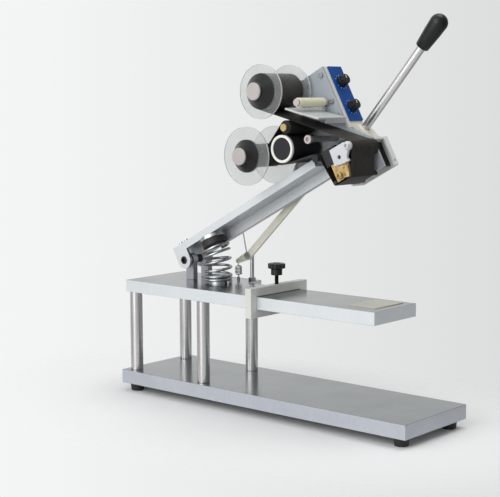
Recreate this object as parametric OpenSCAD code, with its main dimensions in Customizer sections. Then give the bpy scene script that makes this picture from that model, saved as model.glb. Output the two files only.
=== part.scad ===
// Hot stamp date coder: a lever press that prints from heated type through foil onto a flat table.
// Lengths are in millimetres, angles in degrees. The feet stand on z = 0 and +Z is up.
// X runs along the base, Y away from the operator. On the arm, s runs from the hinge pin to the
// handle, n stands square to the arm, and y is shared with the base.

/* [Base and bed] */
// Length of the base plate
base_l = 440; // [400:1:520]
// Width of the base plate
base_w = 124; // [118:1:160]
// Thickness of the base plate
base_t = 17; // [12:1:25]
// Diameter of a rubber foot where it meets the base
foot_d = 19; // [18:1:26]
// Height of a rubber foot
foot_h = 10.5; // [8:0.5:15]
// Distance of a foot's axis from the edges of the base
foot_inset = 14; // [13:1:30]
// Diameter of a post
post_d = 16; // [14:1:20]
// Clear height between base and bed
post_h = 102; // [70:1:140]
// Distance of a post's axis from the edges of the bed
post_inset = 9; // [9:1:14]
// Distance of the bed from the left edge of the base
bed_x = 4.5; // [2:0.5:10]
// Distance of the bed from the front edge of the base
bed_y = 5; // [3:0.5:9]
// Length of the wide part of the bed
bed_l = 136; // [132:1:150]
// Width of the wide part of the bed
bed_w = 109; // [108:1:118]
// Thickness of the bed and its table
bed_t = 15; // [12:1:20]
// Length of the table beyond the print pad
table_lip = 13; // [5:1:30]
// Width of the table
table_w = 81; // [70:1:90]
// Length of the print pad along the table
pad_l = 39; // [25:1:50]
// Width of the print pad
pad_w = 55; // [40:1:64]
// Thickness of the print pad
pad_t = 2; // [1.5:0.5:4]
// Height of the pad above the table
pad_proud = 0.5; // [0.3:0.1:0.8]

/* [Table stop] */
// Distance of the stop from the wide part of the bed
stop_gap = 77; // [20:1:90]
// Thickness of the stop along the table
stop_t = 9.2; // [6:0.2:14]
// Width of the stop's near leg
stop_leg = 10.3; // [8:0.1:10.5]
// Width of the stop's far leg
stop_far_leg = 12.6; // [8:0.1:16]
// Height of the stop's top bar
stop_top = 10; // [8:0.5:12]
// Height of the stop's bottom bar
stop_bottom = 9.5; // [6:0.5:14]
// Diameter of the clamp screw
clamp_d = 5; // [4:0.5:8]
// Diameter of the clamp knob's flange
knob_d = 21; // [16:1:24]
// Height of the clamp knob
knob_h = 14; // [10:1:15]
// Free length of clamp screw between stop and knob
clamp_reach = 11; // [6:0.5:12]

/* [Hinge and arm] */
// Distance of the hinge pin from the left edge of the bed
hinge_x = 60; // [50:1:70]
// Height of the hinge pin above the bed
hinge_h = 25.8; // [25.6:0.1:30]
// Diameter of the hinge pin
pin_d = 10; // [8:0.5:12]
// Slope of the raised arm
arm_slope = 28; // [22:0.5:30]
// Distance of the arm from the front edge of the base
arm_y = 50.6; // [48:0.2:53]
// Width of the arm
arm_w = 37.8; // [36:0.2:42]
// Thickness of the arm's bar
arm_t = 9.2; // [7:0.2:10]
// Height of the bar's underside above the pin axis
arm_rise = 11.7; // [11.5:0.1:13]
// Length of the arm from the pin to its front end
arm_l = 248; // [230:1:270]
// Thickness of the arm's far flange
flange_t = 8; // [5:0.5:9]
// Drop of the far flange below the bar
flange_drop = 11.5; // [6:0.5:12]
// Radius of the arm round the pin
lug_r = 11; // [9:0.5:11]
// Thickness of the arm's near lug
lug_t = 4; // [3:0.5:6]
// Thickness of a hinge bracket ear
ear_t = 8; // [7:0.5:9]
// Width of a hinge bracket ear
ear_w = 13; // [12:0.5:16]
// Radius of an ear round the pin
ear_r = 8; // [7.5:0.1:9.5]
// Distance from the pin to the spring's seat on the arm
seat_s = 49; // [47:1:56]
// Outer diameter of the lift spring
spring_d = 36; // [33:1:37]
// Wire of the lift spring
spring_wire = 3.4; // [3:0.2:3.6]
// Number of turns of the lift spring
spring_turns = 6.3; // [5:0.1:7]
// Diameter of the rubber bumper
bumper_d = 31; // [28:1:31]
// Thickness of the rubber bumper
bumper_h = 9; // [6:0.5:10]

/* [Reels and film] */
// Distance of the supply reel's axis behind the arm's front end
supply_back = 11; // [8:1:14]
// Supply reel axis above the arm
supply_n = 115.7; // [112:0.1:120]
// Distance of the take-up reel's axis behind the arm's front end
takeup_back = 66.6; // [66:0.2:70]
// Take-up reel axis above the arm
takeup_n = 59.5; // [58:0.1:64]
// Diameter of the supply discs
supply_disc_d = 64; // [56:1:68]
// Diameter of the take-up discs
takeup_disc_d = 70; // [60:1:70]
// Thickness of a reel disc
disc_t = 2; // [1.5:0.5:3]
// Distance between the discs of a reel
reel_w = 51; // [50:0.5:52]
// Diameter of the foil on the supply reel
supply_roll_d = 42.6; // [30:0.2:44]
// Diameter of the foil on the take-up reel
takeup_roll_d = 28; // [24:0.5:34]
// Width of the film
film_w = 44; // [30:1:46]
// Thickness of the film as modelled
film_t = 0.4; // [0.3:0.1:0.6]
// Distance of the drive roller's axis behind the arm's front end
drive_back = 15; // [13:1:17]
// Drive roller axis above the arm
drive_n = 43; // [41:0.5:44]
// Diameter of the drive roller
drive_d = 33; // [28:1:33]
// Diameter of the pinch roller
pinch_d = 15; // [12:1:16]
// Direction from the drive roller to the pinch roller
pinch_angle = 54.5; // [45:0.5:60]
// Diameter of the reel and roller shafts
shaft_d = 8; // [6:1:10]
// Pitch diameter of the belt pulley on the drive shaft
drive_pulley_d = 28; // [24:0.2:30]
// Diameter of the belt
belt_d = 3.2; // [2.6:0.2:3.4]

/* [Head] */
// Distance of the side plate from the front edge of the base
side_y = 79.2; // [79:0.2:80]
// Thickness of the side plate
side_t = 3; // [2:0.5:4]
// Distance of the control box's front ahead of the arm's front end
box_ahead = 42.5; // [42:0.5:45]
// Length of the control box along the arm
box_l = 28; // [25:1:28]
// Underside of the control box above the pin axis
box_n = 40; // [39:1:44]
// Height of the control box
box_h = 80; // [70:1:84]
// Depth of the control box behind the side plate
box_depth = 31; // [28:1:34]
// Wall of the control box
box_wall = 2; // [1.5:0.5:3]
// Diameter of a dial knob
dial_d = 12.5; // [10:0.5:16]
// Length of a dial knob
dial_l = 8.5; // [7:0.5:14]
// Underside of the head frame, measured from the pin axis
head_n = -22.4; // [-23:0.2:-20]
// Top of the head frame above the pin axis
head_top_n = 13.8; // [11:0.2:15]
// Distance of the head frame's front ahead of the arm's front end
head_ahead = 69.6; // [68:0.2:72]
// Distance of the type's front ahead of the arm's front end
type_ahead = 50.5; // [49:0.5:52]
// Length of the type along the arm
type_l = 12; // [10:0.5:12]
// Type face, measured from the pin axis
type_n = -25.7; // [-25.8:0.1:-24]
// Radius of the front film guide
front_guide_r = 9.5; // [7:0.5:9.5]
// Length of the handle rod from its block to the grip
handle_l = 120; // [100:1:140]
// Diameter of the handle rod
handle_d = 10; // [8:0.5:12]
// Slope of the handle rod against the arm
handle_slope = 21.8; // [15:0.2:26]
// Length of the grip
grip_l = 44; // [40:1:70]
// Diameter of the grip near its top
grip_d = 19; // [16:0.5:24]

/* [Feed] */
// Distance of the anchor post from the right edge of the bed
anchor_inset = 6.5; // [6:0.5:12]
// Distance of the anchor post from the far edge of the bed
anchor_back = 10.5; // [10:0.5:10.5]
// Height of the feed rod's pivot above the bed
anchor_h = 33; // [31:0.5:35]
// Radius of the feed crank
crank_r = 20; // [17:0.5:20.5]
// Width of the feed rod
rod_w = 9; // [8:0.5:12]
// Thickness of the feed rod
rod_t = 4; // [3:0.5:4.5]
// Diameter of the feed rod's pivots
pivot_d = 6; // [5:0.5:7]
// Free play along the slot in the feed rod's upper end
slot_play = 5; // [4.6:0.1:5.6]

/* [Fits] */
// Gap between parts that slide or roll past each other
run_gap = 0.4; // [0.3:0.05:0.6]
// Radial clearance of a shaft that turns in a bore
turn_fit = 0.05; // [0.02:0.01:0.1]
// Gap between the film and what it passes round
film_gap = 0.3; // [0.3:0.05:0.5]

/* [Hidden] */
$fn = 48;

// Heights of the base and the bed
base_top = foot_h + base_t;
bed_z = base_top + post_h;
bed_top = bed_z + bed_t;
bed_end = bed_x + bed_l;
// The table stop goes round the table with a gap on every side
stop_y = bed_y - run_gap - stop_leg;
stop_w = stop_leg + table_w + 2 * run_gap + stop_far_leg;
stop_x = bed_end + stop_gap;
stop_z = bed_z - run_gap - stop_bottom;
stop_roof = bed_top + run_gap + stop_top;
// The part stands centred over the middle of its footprint
centre_x = base_l / 2;
centre_y = (base_w + stop_y) / 2;

// Hinge pin axis
pin_x = bed_x + hinge_x;
pin_z = bed_top + hinge_h;
arm_top = arm_rise + arm_t;
arm_far = arm_y + arm_w;
// One ear stands inside the arm and the other behind it
ear_spacer = 6;
ear_y = [arm_y + lug_t + run_gap + ear_spacer, arm_far + run_gap];
screw_d = 5;
screw_head_d = 8.5;
screw_head_h = 5;
cup_t = 5;
screw_cap_t = 2;

// Lift spring, from the bed to the cup under the arm
spring_y = arm_far - flange_t - spring_d / 2 - run_gap;
spring_x = pin_x + seat_s;
spring_low_turn = 2.2;
spring_high_turn = 1;
spring_end_pitch = spring_wire + 0.6;
spring_low = bed_top + spring_wire / 2;
spring_high_n = arm_rise - cup_t - bumper_h - spring_wire / 2 - run_gap;
spring_high = [pin_x + seat_s * cos(arm_slope) - spring_high_n * sin(arm_slope),
               pin_z + seat_s * sin(arm_slope) + spring_high_n * cos(arm_slope)];
stud_d = 8;
stud_root = 8;
boss_h = 10;

// Places along the arm, counted from the front end of its bar
supply_s = arm_l - supply_back;
takeup_s = arm_l - takeup_back;
drive_s = arm_l - drive_back;
box_s = arm_l + box_ahead;
head_s = arm_l + head_ahead;
head_back = arm_l + 14;
type_s = arm_l + type_ahead;
sleeve_s = arm_l + 29;
post_s = arm_l + 22;
foot_s = arm_l - 52;
foot_l = 36;
plate_screw_s = [foot_s + 10, foot_s + 26];

// The print pad lies under the type when the arm is down
pad_shift = 5.5;
pad_x = pin_x + type_s - type_l / 2 - pad_l / 2 + pad_shift;
pad_y = bed_y + (table_w - pad_w) / 2 + 7;
table_l = pad_x + pad_l + table_lip - bed_end;

// Reels and rollers, from the operator's side to the side plate
disc_y = side_y - 3.7 - disc_t - reel_w - disc_t;
spool_y = disc_y + disc_t;
far_disc_y = spool_y + reel_w;
hub_l = 11.5;
cap_t = 2;
hub_y = disc_y - hub_l;
cap_y = hub_y - cap_t;
cap_r = 10.3;
film_y = spool_y + (reel_w - film_w) / 2;
roller_y = spool_y + 2.5;
roller_end = far_disc_y - 1.5;
bush_d = shaft_d + 5;
bush_flange = 3;
pulley_y = side_y + side_t + 2.3;
pulley_w = 5;
crank_y = pulley_y + pulley_w + 1;
crank_t = 3;
rod_y = crank_y + crank_t + 2;
pinch_gap = drive_d / 2 + pinch_d / 2 + 2 * film_gap + film_t + 0.02;
pinch_s = drive_s + pinch_gap * cos(pinch_angle);
pinch_n = drive_n + pinch_gap * sin(pinch_angle);
pinch_axle_d = 6;

// Film guides round the head
front_guide = [type_s + 13, 4.5];
low_guide_r = 2.5;
low_guide_gap = 1.3;
low_guide_n = type_n + 1.2;
front_low = [type_s + low_guide_gap + low_guide_r, low_guide_n];
rear_low = [type_s - type_l - low_guide_gap - low_guide_r, low_guide_n];
rear_guide_r = 4.5;
rear_guide = [arm_l + 21.5, 12.5];
film_r = film_gap + film_t / 2;
// Each station of the film is an axis, the film's radius there and the way it turns, left being 1
film_stations = [
    [supply_s, supply_n, supply_roll_d / 2 + film_r, 1],
    [front_guide[0], front_guide[1], front_guide_r + film_r, -1],
    [front_low[0], front_low[1], low_guide_r + film_r, -1],
    [rear_low[0], rear_low[1], low_guide_r + film_r, -1],
    [rear_guide[0], rear_guide[1], rear_guide_r + film_r, 1],
    [drive_s, drive_n, drive_d / 2 + film_r, -1],
    [pinch_s, pinch_n, pinch_d / 2 + film_r, 1],
    [takeup_s, takeup_n, takeup_roll_d / 2 + film_r, -1]];
// The take-up pulley is smaller, so that the take-up roll keeps pace with the drive roller
takeup_pulley_d = drive_pulley_d * takeup_roll_d / drive_d;
belt_stations = [
    [takeup_s, takeup_n, takeup_pulley_d / 2, 1],
    [drive_s, drive_n, drive_pulley_d / 2, 1]];

// The ivory sleeve stands above the tray, which lies along the film's upper run
sleeve_n = 80;
sleeve_r = 5.4;
tray_from = [arm_l + 9, 81.5];
tray_to = [arm_l + 47, 48.8];
tray_t = 2;
tray_end = side_y - screw_cap_t - run_gap;
post_n = 36.5;

// Head parts
head_y = side_y + side_t;
head_depth = 25;
head_wall = 2.5;
block_s = rear_low[0] - 2.5;
block_front = front_guide[0] - front_guide_r - 0.6;
block_n = -5;
block_top = 14;
type_y = film_y - 1;
type_end = side_y - 1.2;
panel_t = 2;
panel_n = box_n + 8;
panel_y = side_y + 8.8;
panel_end = head_y + box_depth;
dial_y = (panel_y + panel_end) / 2;
dial_low_n = box_n + 25.5;
dial_high_n = box_n + 58.5;
dial_shaft_d = 6;
bush_pot_d = 9;
bush_pot_l = 0.8;
handle_y = 97;
handle_block_w = 20;
handle_s = box_s + 9.5;
handle_n = 33.1;
handle_root = 4;
handle_in_grip = 30;

// Feed linkage
anchor = [bed_end - anchor_inset, bed_top + anchor_h];
anchor_y = bed_y + bed_w - anchor_back;
crank_pin_s = drive_s;
crank_pin_n = drive_n - crank_r;
rod_top = [pin_x + crank_pin_s * cos(arm_slope) - crank_pin_n * sin(arm_slope),
           pin_z + crank_pin_s * sin(arm_slope) + crank_pin_n * cos(arm_slope)];
rod_run = rod_top - anchor;
rod_l = norm(rod_run);
rod_slope = atan2(rod_run[1], rod_run[0]);
tail = [-18, -8.5];
tail_spring_d = 9.6;
tail_wire = 1.3;
tail_turns = 7;
peg_h = 4;
// A stiff wire stands up from the pivot beside the arm
stay = [-7.5, 33];
stay_d = 1.6;

// Places everything so that the footprint's middle is over the origin
module placed() {
    translate([-centre_x, -centre_y, 0]) children();
}

// Takes s, y and n to the arm at its raised rest position
module on_arm() {
    placed() translate([pin_x, 0, pin_z]) rotate([0, -arm_slope, 0]) children();
}

// A flat piece: an outline in x and z, or s and n, with its thickness along y
module sheet(y, t) {
    translate([0, y + t, 0]) rotate([90, 0, 0]) linear_extrude(t) children();
}

// A round bar along y
module bar(at, y0, y1, d, d2 = 0) {
    translate([at[0], y0, at[1]]) rotate([-90, 0, 0])
        cylinder(d1 = d, d2 = d2 > 0 ? d2 : d, h = y1 - y0);
}

// A tube along y
module tube(at, y0, y1, d, bore) {
    difference() {
        bar(at, y0, y1, d);
        bar(at, y0 - 1, y1 + 1, bore);
    }
}

// A flat link with two round ends
module link_outline(a, b, r_a, r_b) {
    run = b - a;
    length = norm(run);
    lean = asin((r_a - r_b) / length);
    face = atan2(run[1], run[0]);
    translate(a) circle(r = r_a);
    translate(b) circle(r = r_b);
    side = 0.97;
    polygon([a + side * r_a * dir(face + 90 - lean), a + side * r_a * dir(face - 90 + lean),
             b + side * r_b * dir(face - 90 + lean), b + side * r_b * dir(face + 90 - lean)]);
}

// A socket head screw that points down, with its head's seat at z = 0
module cap_screw(d, l, head_d, head_h) {
    difference() {
        union() {
            cylinder(d = head_d, h = head_h);
            translate([0, 0, -l]) cylinder(d = d, h = l + 0.1);
        }
        translate([0, 0, head_h * 0.4]) cylinder(d = head_d * 0.55, h = head_h, $fn = 6);
    }
}

function dir(a) = [cos(a), sin(a)];
function unit(v) = v / norm(v);
function wrap(a) = a - 360 * floor(a / 360);

// Heading of the straight run between two stations of a band
function heading(a, b) =
    let (run = [b[0] - a[0], b[1] - a[1]])
    atan2(run[1], run[0]) - asin((b[3] * b[2] - a[3] * a[2]) / norm(run));

// Points where a band goes round a station, moved to the left of its middle by side
function round_points(at, from, to, side) =
    let (turn = at[3] * wrap(at[3] * (to - from)), steps = ceil(turn * at[3] / 12))
    [for (i = [0:steps]) let (h = from + (steps == 0 ? 0 : turn * i / steps))
        [at[0], at[1]] + (at[3] * at[2] - side) * dir(h - 90)];

// One side of an open band through its stations
function band_side(stations, side) =
    let (last = len(stations) - 1,
         run = [for (i = [0:last - 1]) heading(stations[i], stations[i + 1])])
    [for (i = [0:last]) each round_points(stations[i], run[max(i - 1, 0)], run[min(i, last - 1)], side)];

// One side of a closed band round its stations
function loop_side(stations, side) =
    let (count = len(stations),
         run = [for (i = [0:count - 1]) heading(stations[i], stations[(i + 1) % count])])
    [for (i = [0:count - 1]) each round_points(stations[i], run[(i + count - 1) % count], run[i], side)];

function reversed(list) = [for (i = [len(list) - 1:-1:0]) list[i]];

// Direction of a path at one of its points
function along(path, i) = unit(path[min(i + 1, len(path) - 1)] - path[max(i - 1, 0)]);
function square_to(v, t) = unit(v - t * (v * t));

// A direction square to the path, carried from point to point without twist
function carried(path, start) =
    [for (i = 0, v = square_to(start, along(path, 0)); i < len(path);
          i = i + 1, v = square_to(v, along(path, min(i, len(path) - 1)))) v];

// Least gap between stretches of a wire that are at least half a turn apart
function wire_gap(path, wire, apart) =
    min([for (i = [0:len(path) - 1 - apart]) for (j = [i + apart:len(path) - 1])
        norm(path[i] - path[j])]) - wire;

// A round wire swept along a path
module wire(path, d, start, sides = 6) {
    frame = carried(path, start);
    count = len(path);
    points = [for (i = [0:count - 1]) let (t = along(path, i), b = cross(t, frame[i]))
        for (k = [0:sides - 1])
            path[i] + d / 2 * (cos(360 * k / sides) * frame[i] + sin(360 * k / sides) * b)];
    walls = [for (i = [0:count - 2]) for (k = [0:sides - 1])
        let (p = i * sides + k, q = i * sides + (k + 1) % sides)
        each [[p, p + sides, q], [q, p + sides, q + sides]]];
    low = [for (k = [1:sides - 2]) [0, k, k + 1]];
    top = (count - 1) * sides;
    high = [for (k = [1:sides - 2]) [top, top + k + 1, top + k]];
    polyhedron(points, concat(walls, low, high));
}

post_spigot_d = 9;
post_spigot_l = 6;
foot_screw_d = 4;
foot_floor = 3;
foot_screw_l = foot_floor + base_t - post_spigot_l - 2;

module base_plate() {
    color("#b9bcc0") placed() difference() {
        translate([0, 0, foot_h]) cube([base_l, base_w, base_t]);
        each_post() translate([0, 0, base_top - post_spigot_l - 0.3])
            cylinder(d = post_spigot_d + 0.1, h = post_spigot_l + 1.3);
        each_foot() translate([0, 0, foot_h - 1])
            cylinder(d = foot_screw_d + 0.1, h = foot_screw_l - foot_floor + 1.3);
    }
}

module each_foot() {
    for (x = [foot_inset, base_l - foot_inset], y = [foot_inset, base_w - foot_inset])
        translate([x, y, 0]) children();
}

module each_post() {
    for (x = [post_inset, bed_l - post_inset], y = [post_inset, bed_w - post_inset])
        translate([bed_x + x, bed_y + y, 0]) children();
}

module rubber_feet() {
    color("#1d1d1f") placed() each_foot() difference() {
        cylinder(d1 = foot_d - 3, d2 = foot_d, h = foot_h);
        translate([0, 0, -1]) cylinder(d = foot_screw_d + 5, h = foot_h - foot_floor + 1);
        translate([0, 0, -1]) cylinder(d = foot_screw_d + 0.1, h = foot_h + 2);
    }
}

module posts() {
    color("#d3d6da") placed() each_post() {
        translate([0, 0, base_top]) cylinder(d = post_d, h = post_h);
        translate([0, 0, base_top - post_spigot_l])
            cylinder(d = post_spigot_d, h = post_h + 2 * post_spigot_l);
    }
}

module frame_screws() {
    color("#3a3b3d") placed() {
        each_foot() translate([0, 0, foot_h - foot_floor]) rotate([180, 0, 0])
            cap_screw(foot_screw_d, foot_screw_l, foot_screw_d + 3, 3);
        for (y = ear_y)
            translate([pin_x, y + ear_t / 2, bed_z + screw_head_h]) rotate([180, 0, 0])
                cap_screw(screw_d, bed_t - screw_head_h + 6, screw_head_d, screw_head_h);
    }
}

module bed_plate() {
    color("#c3c5c8") placed() difference() {
        union() {
            translate([bed_x, bed_y, bed_z]) cube([bed_l, bed_w, bed_t]);
            translate([bed_end - 1, bed_y, bed_z]) cube([table_l + 1, table_w, bed_t]);
        }
        each_post() translate([0, 0, bed_z - 1])
            cylinder(d = post_spigot_d + 0.1, h = post_spigot_l + 1.3);
        translate([pad_x, pad_y, bed_top - pad_t + pad_proud]) cube([pad_l, pad_w, pad_t]);
        for (y = ear_y) translate([pin_x, y + ear_t / 2, bed_z - 1]) {
            cylinder(d = screw_head_d + 1, h = screw_head_h + 1);
            cylinder(d = screw_d + 0.2, h = bed_t + 2);
        }
        translate([spring_x, spring_y, bed_top - stud_root]) cylinder(d = stud_d + 0.1, h = stud_root + 1);
        translate([anchor[0], anchor_y, bed_top - anchor_root])
            cylinder(d = anchor_d + 0.1, h = anchor_root + 1);
        translate([anchor[0] + tail[0], rod_y + rod_t / 2, bed_top - 6]) cylinder(d = 4.1, h = 7);
    }
}

module print_pad() {
    color("#d8cfa4") placed() translate([pad_x + 0.1, pad_y + 0.1, bed_top - pad_t + pad_proud])
        cube([pad_l - 0.2, pad_w - 0.2, pad_t]);
}

module hinge_bracket() {
    color("#c9cbce") placed() difference() {
        for (y = ear_y) sheet(y, ear_t) {
            translate([pin_x, pin_z]) circle(r = ear_r);
            translate([pin_x - ear_w / 2, bed_top]) square([ear_w, hinge_h]);
        }
        bar([pin_x, pin_z], ear_y[0] - 1, ear_y[1] + ear_t + 1, pin_d + 0.02);
        for (y = ear_y) translate([pin_x, y + ear_t / 2, bed_top - 1]) cylinder(d = screw_d + 0.1, h = 8);
    }
}

pin_head_t = 1.2;

// The pin carries a spacer between the arm's near lug and the first ear
module hinge_pin() {
    at = [pin_x, pin_z];
    color("#2a2b2d") placed() difference() {
        union() {
            bar(at, arm_y - pin_head_t, ear_y[1] + ear_t + 3, pin_d);
            bar(at, ear_y[0] - ear_spacer, ear_y[0], pin_d + 4);
        }
        bar(at, arm_y - pin_head_t - 1, arm_y + 3, pin_d * 0.5);
    }
}

// Height of the lift spring's wire, as a share of its rise, after a number of turns
function spring_share(turn) =
    let (rise = spring_high[1] - spring_low,
         closed = spring_low_turn + spring_high_turn,
         middle = (rise - closed * spring_end_pitch) / (spring_turns - closed),
         low = min(turn, spring_low_turn),
         high = max(turn - spring_turns + spring_high_turn, 0))
    ((low + high) * spring_end_pitch + (turn - low - high) * middle) / rise;

// The coils stand level on the bed and lean with the arm at the top
lift_path = [for (i = [0:round(spring_turns * 8)])
    let (turn = i / 8, share = spring_share(turn), lean = arm_slope * share * share,
         r = (spring_d - spring_wire) / 2, across = r * cos(360 * turn))
    [spring_x + (spring_high[0] - spring_x) * pow(share, 3) + across * cos(lean),
     spring_y + r * sin(360 * turn),
     spring_low + (spring_high[1] - spring_low) * share + across * sin(lean)]];

module lift_spring() {
    echo(lift_spring_gap = wire_gap(lift_path, spring_wire, 4));
    color("#8f9499") placed() wire(lift_path, spring_wire, [1, 0, 0]);
}

// A boss that keeps the spring's foot in place
module spring_stud() {
    color("#b4b7ba") placed() translate([spring_x, spring_y, bed_top]) {
        translate([0, 0, -stud_root]) cylinder(d = stud_d, h = stud_root + 1);
        cylinder(d = spring_d - 2 * spring_wire - 4, h = boss_h);
    }
}

anchor_d = 5;
anchor_root = 6;

module anchor_post() {
    color("#55585b") placed() {
        translate([anchor[0], anchor_y, bed_top - anchor_root])
            cylinder(d = anchor_d, h = anchor_root + anchor_h + 5);
        translate([anchor[0], anchor_y, bed_top]) cylinder(d = anchor_d + 5, h = 4, $fn = 6);
        bar(anchor, rod_y - 1.5, anchor_y, pivot_d - 2 * turn_fit);
        bar(anchor, rod_y - 2.5, rod_y - run_gap, pivot_d + 3);
        translate([anchor[0], rod_y - 1.6, anchor[1]]) rotate([0, atan2(stay[0], stay[1]), 0])
            cylinder(d = stay_d, h = norm(stay), $fn = 24);
        translate([anchor[0] + tail[0], rod_y + rod_t / 2, bed_top - 6]) cylinder(d = 4, h = 6 + peg_h);
    }
}

// The tension spring runs from its peg to the rod's tail; its end turns wind in to the axis
tail_low = bed_top + peg_h;
tail_high = anchor[1] + tail[1] - 3.3;
tail_straight = 2;
tail_path = concat(
    [[0, 0, tail_low], [0, 0, tail_low + tail_straight / 2]],
    [for (i = [0:tail_turns * 8])
        let (turn = i / 8, r = (tail_spring_d - tail_wire) / 2,
             wound = min(1, turn, tail_turns - turn))
        [wound * r * cos(360 * turn), wound * r * sin(360 * turn),
         tail_low + tail_straight + (tail_high - tail_low - 2 * tail_straight) * turn / tail_turns]],
    [[0, 0, tail_high - tail_straight / 2], [0, 0, tail_high]]);

module feed_spring() {
    echo(feed_spring_gap = wire_gap(tail_path, tail_wire, 5));
    color("#6f7479") placed() translate([anchor[0] + tail[0], rod_y + rod_t / 2, 0])
        wire(tail_path, tail_wire, [1, 0, 0]);
}

clamp_y = stop_y + stop_w / 2;

module table_stop() {
    color("#c6c9cc") placed() difference() {
        translate([stop_x, stop_y, stop_z]) cube([stop_t, stop_w, stop_roof - stop_z]);
        translate([stop_x - 1, bed_y - run_gap, bed_z - run_gap])
            cube([stop_t + 2, table_w + 2 * run_gap, bed_t + 2 * run_gap]);
        translate([stop_x + stop_t / 2, clamp_y, bed_top]) cylinder(d = clamp_d + 2 * turn_fit, h = 40);
    }
}

module clamp_screw() {
    color("#2e2f31") placed() translate([stop_x + stop_t / 2, clamp_y, bed_top + run_gap / 2])
        cylinder(d = clamp_d, h = stop_top + run_gap / 2 + clamp_reach + 4);
}

module clamp_knob() {
    hub_d = knob_d * 0.65;
    flange_h = knob_h * 0.42;
    color("#1b1b1c") placed() translate([stop_x + stop_t / 2, clamp_y, stop_roof + clamp_reach])
        difference() {
            union() {
                cylinder(d = hub_d, h = knob_h - flange_h);
                translate([0, 0, knob_h - flange_h - 0.1]) difference() {
                    cylinder(d = knob_d, h = flange_h + 0.1);
                    for (a = [0:30:330]) rotate(a) translate([knob_d / 2 + 0.6, 0, -1])
                        cylinder(r = 1.6, h = flange_h + 3, $fn = 16);
                }
            }
            translate([0, 0, -1]) cylinder(d = clamp_d + 0.02, h = 5.2);
        }
}

plate_screw_y = head_y + 3.2;
plate_foot_t = 3;

module arm_bar() {
    color("#b7babd") on_arm() difference() {
        union() {
            sheet(arm_y, arm_w) translate([-lug_r, arm_rise]) square([arm_l + lug_r, arm_t]);
            sheet(arm_y, lug_t) lug_outline();
            sheet(arm_far - flange_t, flange_t) {
                lug_outline();
                translate([0, arm_rise - flange_drop]) square([arm_l, flange_drop + 1]);
            }
        }
        bar([0, 0], arm_y - 1, arm_far + 1, pin_d + 2 * turn_fit);
        for (s = plate_screw_s) translate([s, plate_screw_y, arm_top - 9])
            cylinder(d = screw_d - 0.9, h = 10);
        for (s = lug_screw_s) translate([s, lug_screw_y, arm_top - 7]) cylinder(d = lug_screw_d + 0.1, h = 8);
    }
}

lug_screw_s = [2, 12];
lug_screw_y = arm_y + 4;
lug_screw_d = 3;

module lug_outline() {
    circle(r = lug_r);
    translate([-lug_r, 0]) square([2 * lug_r, arm_rise + 1]);
}

module rubber_bumper() {
    color("#19191a") on_arm() translate([seat_s, spring_y, arm_rise - cup_t - bumper_h])
        cylinder(d = bumper_d, h = bumper_h);
}

module spring_cup() {
    color("#a9adb0") on_arm() translate([seat_s, spring_y, arm_rise - cup_t])
        cylinder(d = bumper_d + 1, h = cup_t);
}

box_screw_n = [box_n + 19, box_n + 37.5, box_n + 72];
box_screw_s = box_s - 6;
head_screw_d = 4;

// The plate carries the box at its top, the head at its front and the reels on two fingers
module side_plate() {
    color("#b4bcc6") on_arm() difference() {
        union() {
            sheet(side_y, side_t) {
                polygon([[foot_s, arm_top], [arm_l + 3, arm_top], [arm_l + 3, head_n + 20],
                         [head_back + 4, head_n], [head_s - 1, head_n], [head_s - 1, head_top_n],
                         [box_s, box_n], [box_s, box_n + box_h], [box_s - box_l - 1, box_n + box_h],
                         [supply_s + 6, supply_n - 24], [drive_s - 17, drive_n + 9],
                         [drive_s - 17, arm_top + 24], [foot_s, arm_top + 12]]);
                link_outline([takeup_s, takeup_n], [drive_s, drive_n + 8], bush_d / 2 + 3, bush_d / 2 + 5);
                link_outline([supply_s, supply_n], [box_s - box_l + 6, supply_n - 14], 11, 14);
            }
            translate([foot_s, head_y - 0.1, arm_top]) cube([foot_l, arm_far - head_y + 0.1, plate_foot_t]);
        }
        for (s = plate_screw_s) translate([s, plate_screw_y, arm_top - 1])
            cylinder(d = screw_d - 0.9, h = plate_foot_t + 2);
        for (at = [[takeup_s, takeup_n], [drive_s, drive_n]])
            bar(at, side_y - 1, head_y + 1, bush_d + 0.05);
        bar([supply_s, supply_n], side_y - 1, head_y + 1, shaft_d + 0.02);
        bar([pinch_s, pinch_n], side_y - 1, head_y + 1, pinch_axle_d + 0.02);
        for (n = box_screw_n) bar([box_screw_s, n], side_y - 1, head_y + 1, head_screw_d + 0.1);
        for (at = post_places) bar(at, side_y - 1, head_y + 1, post_thread_d + 0.1);
    }
}

module head_screws() {
    color("#8c9094") on_arm() {
        for (s = plate_screw_s) translate([s, plate_screw_y, arm_top + plate_foot_t])
            cap_screw(screw_d - 1, 10, screw_head_d - 2.4, 3);
        for (s = lug_screw_s) translate([s, lug_screw_y, arm_top]) cap_screw(lug_screw_d, 6, 5, 2.5);
        for (n = box_screw_n) translate([box_screw_s, side_y, n]) rotate([90, 0, 0])
            cap_screw(head_screw_d, side_t + box_wall + 2, 6.5, screw_cap_t);
    }
}

// A folded box with a flange along the near side of its front
module control_box() {
    color("#d3d2c6") on_arm() difference() {
        translate([box_s - box_l, head_y, box_n]) cube([box_l, box_depth, box_h]);
        translate([box_s - box_l + box_wall, head_y + box_wall, box_n + box_wall])
            cube([box_l - 2 * box_wall, box_depth - 2 * box_wall, box_h - 2 * box_wall]);
        translate([box_s - box_wall - 1, panel_y + 1, panel_n + 1])
            cube([box_wall + 2, panel_end - panel_y - box_wall - 1, box_n + box_h - panel_n - box_wall - 1]);
        for (n = box_screw_n) bar([box_screw_s, n], head_y - 1, head_y + box_wall + 1, head_screw_d + 0.1);
        translate([box_s - box_l - 1, gland_y, gland_n]) rotate([0, 90, 0]) cylinder(d = gland_d + 0.1, h = 5);
    }
}

gland_d = 10;
gland_y = head_y + box_depth - 10;
gland_n = box_n + 62;

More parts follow.
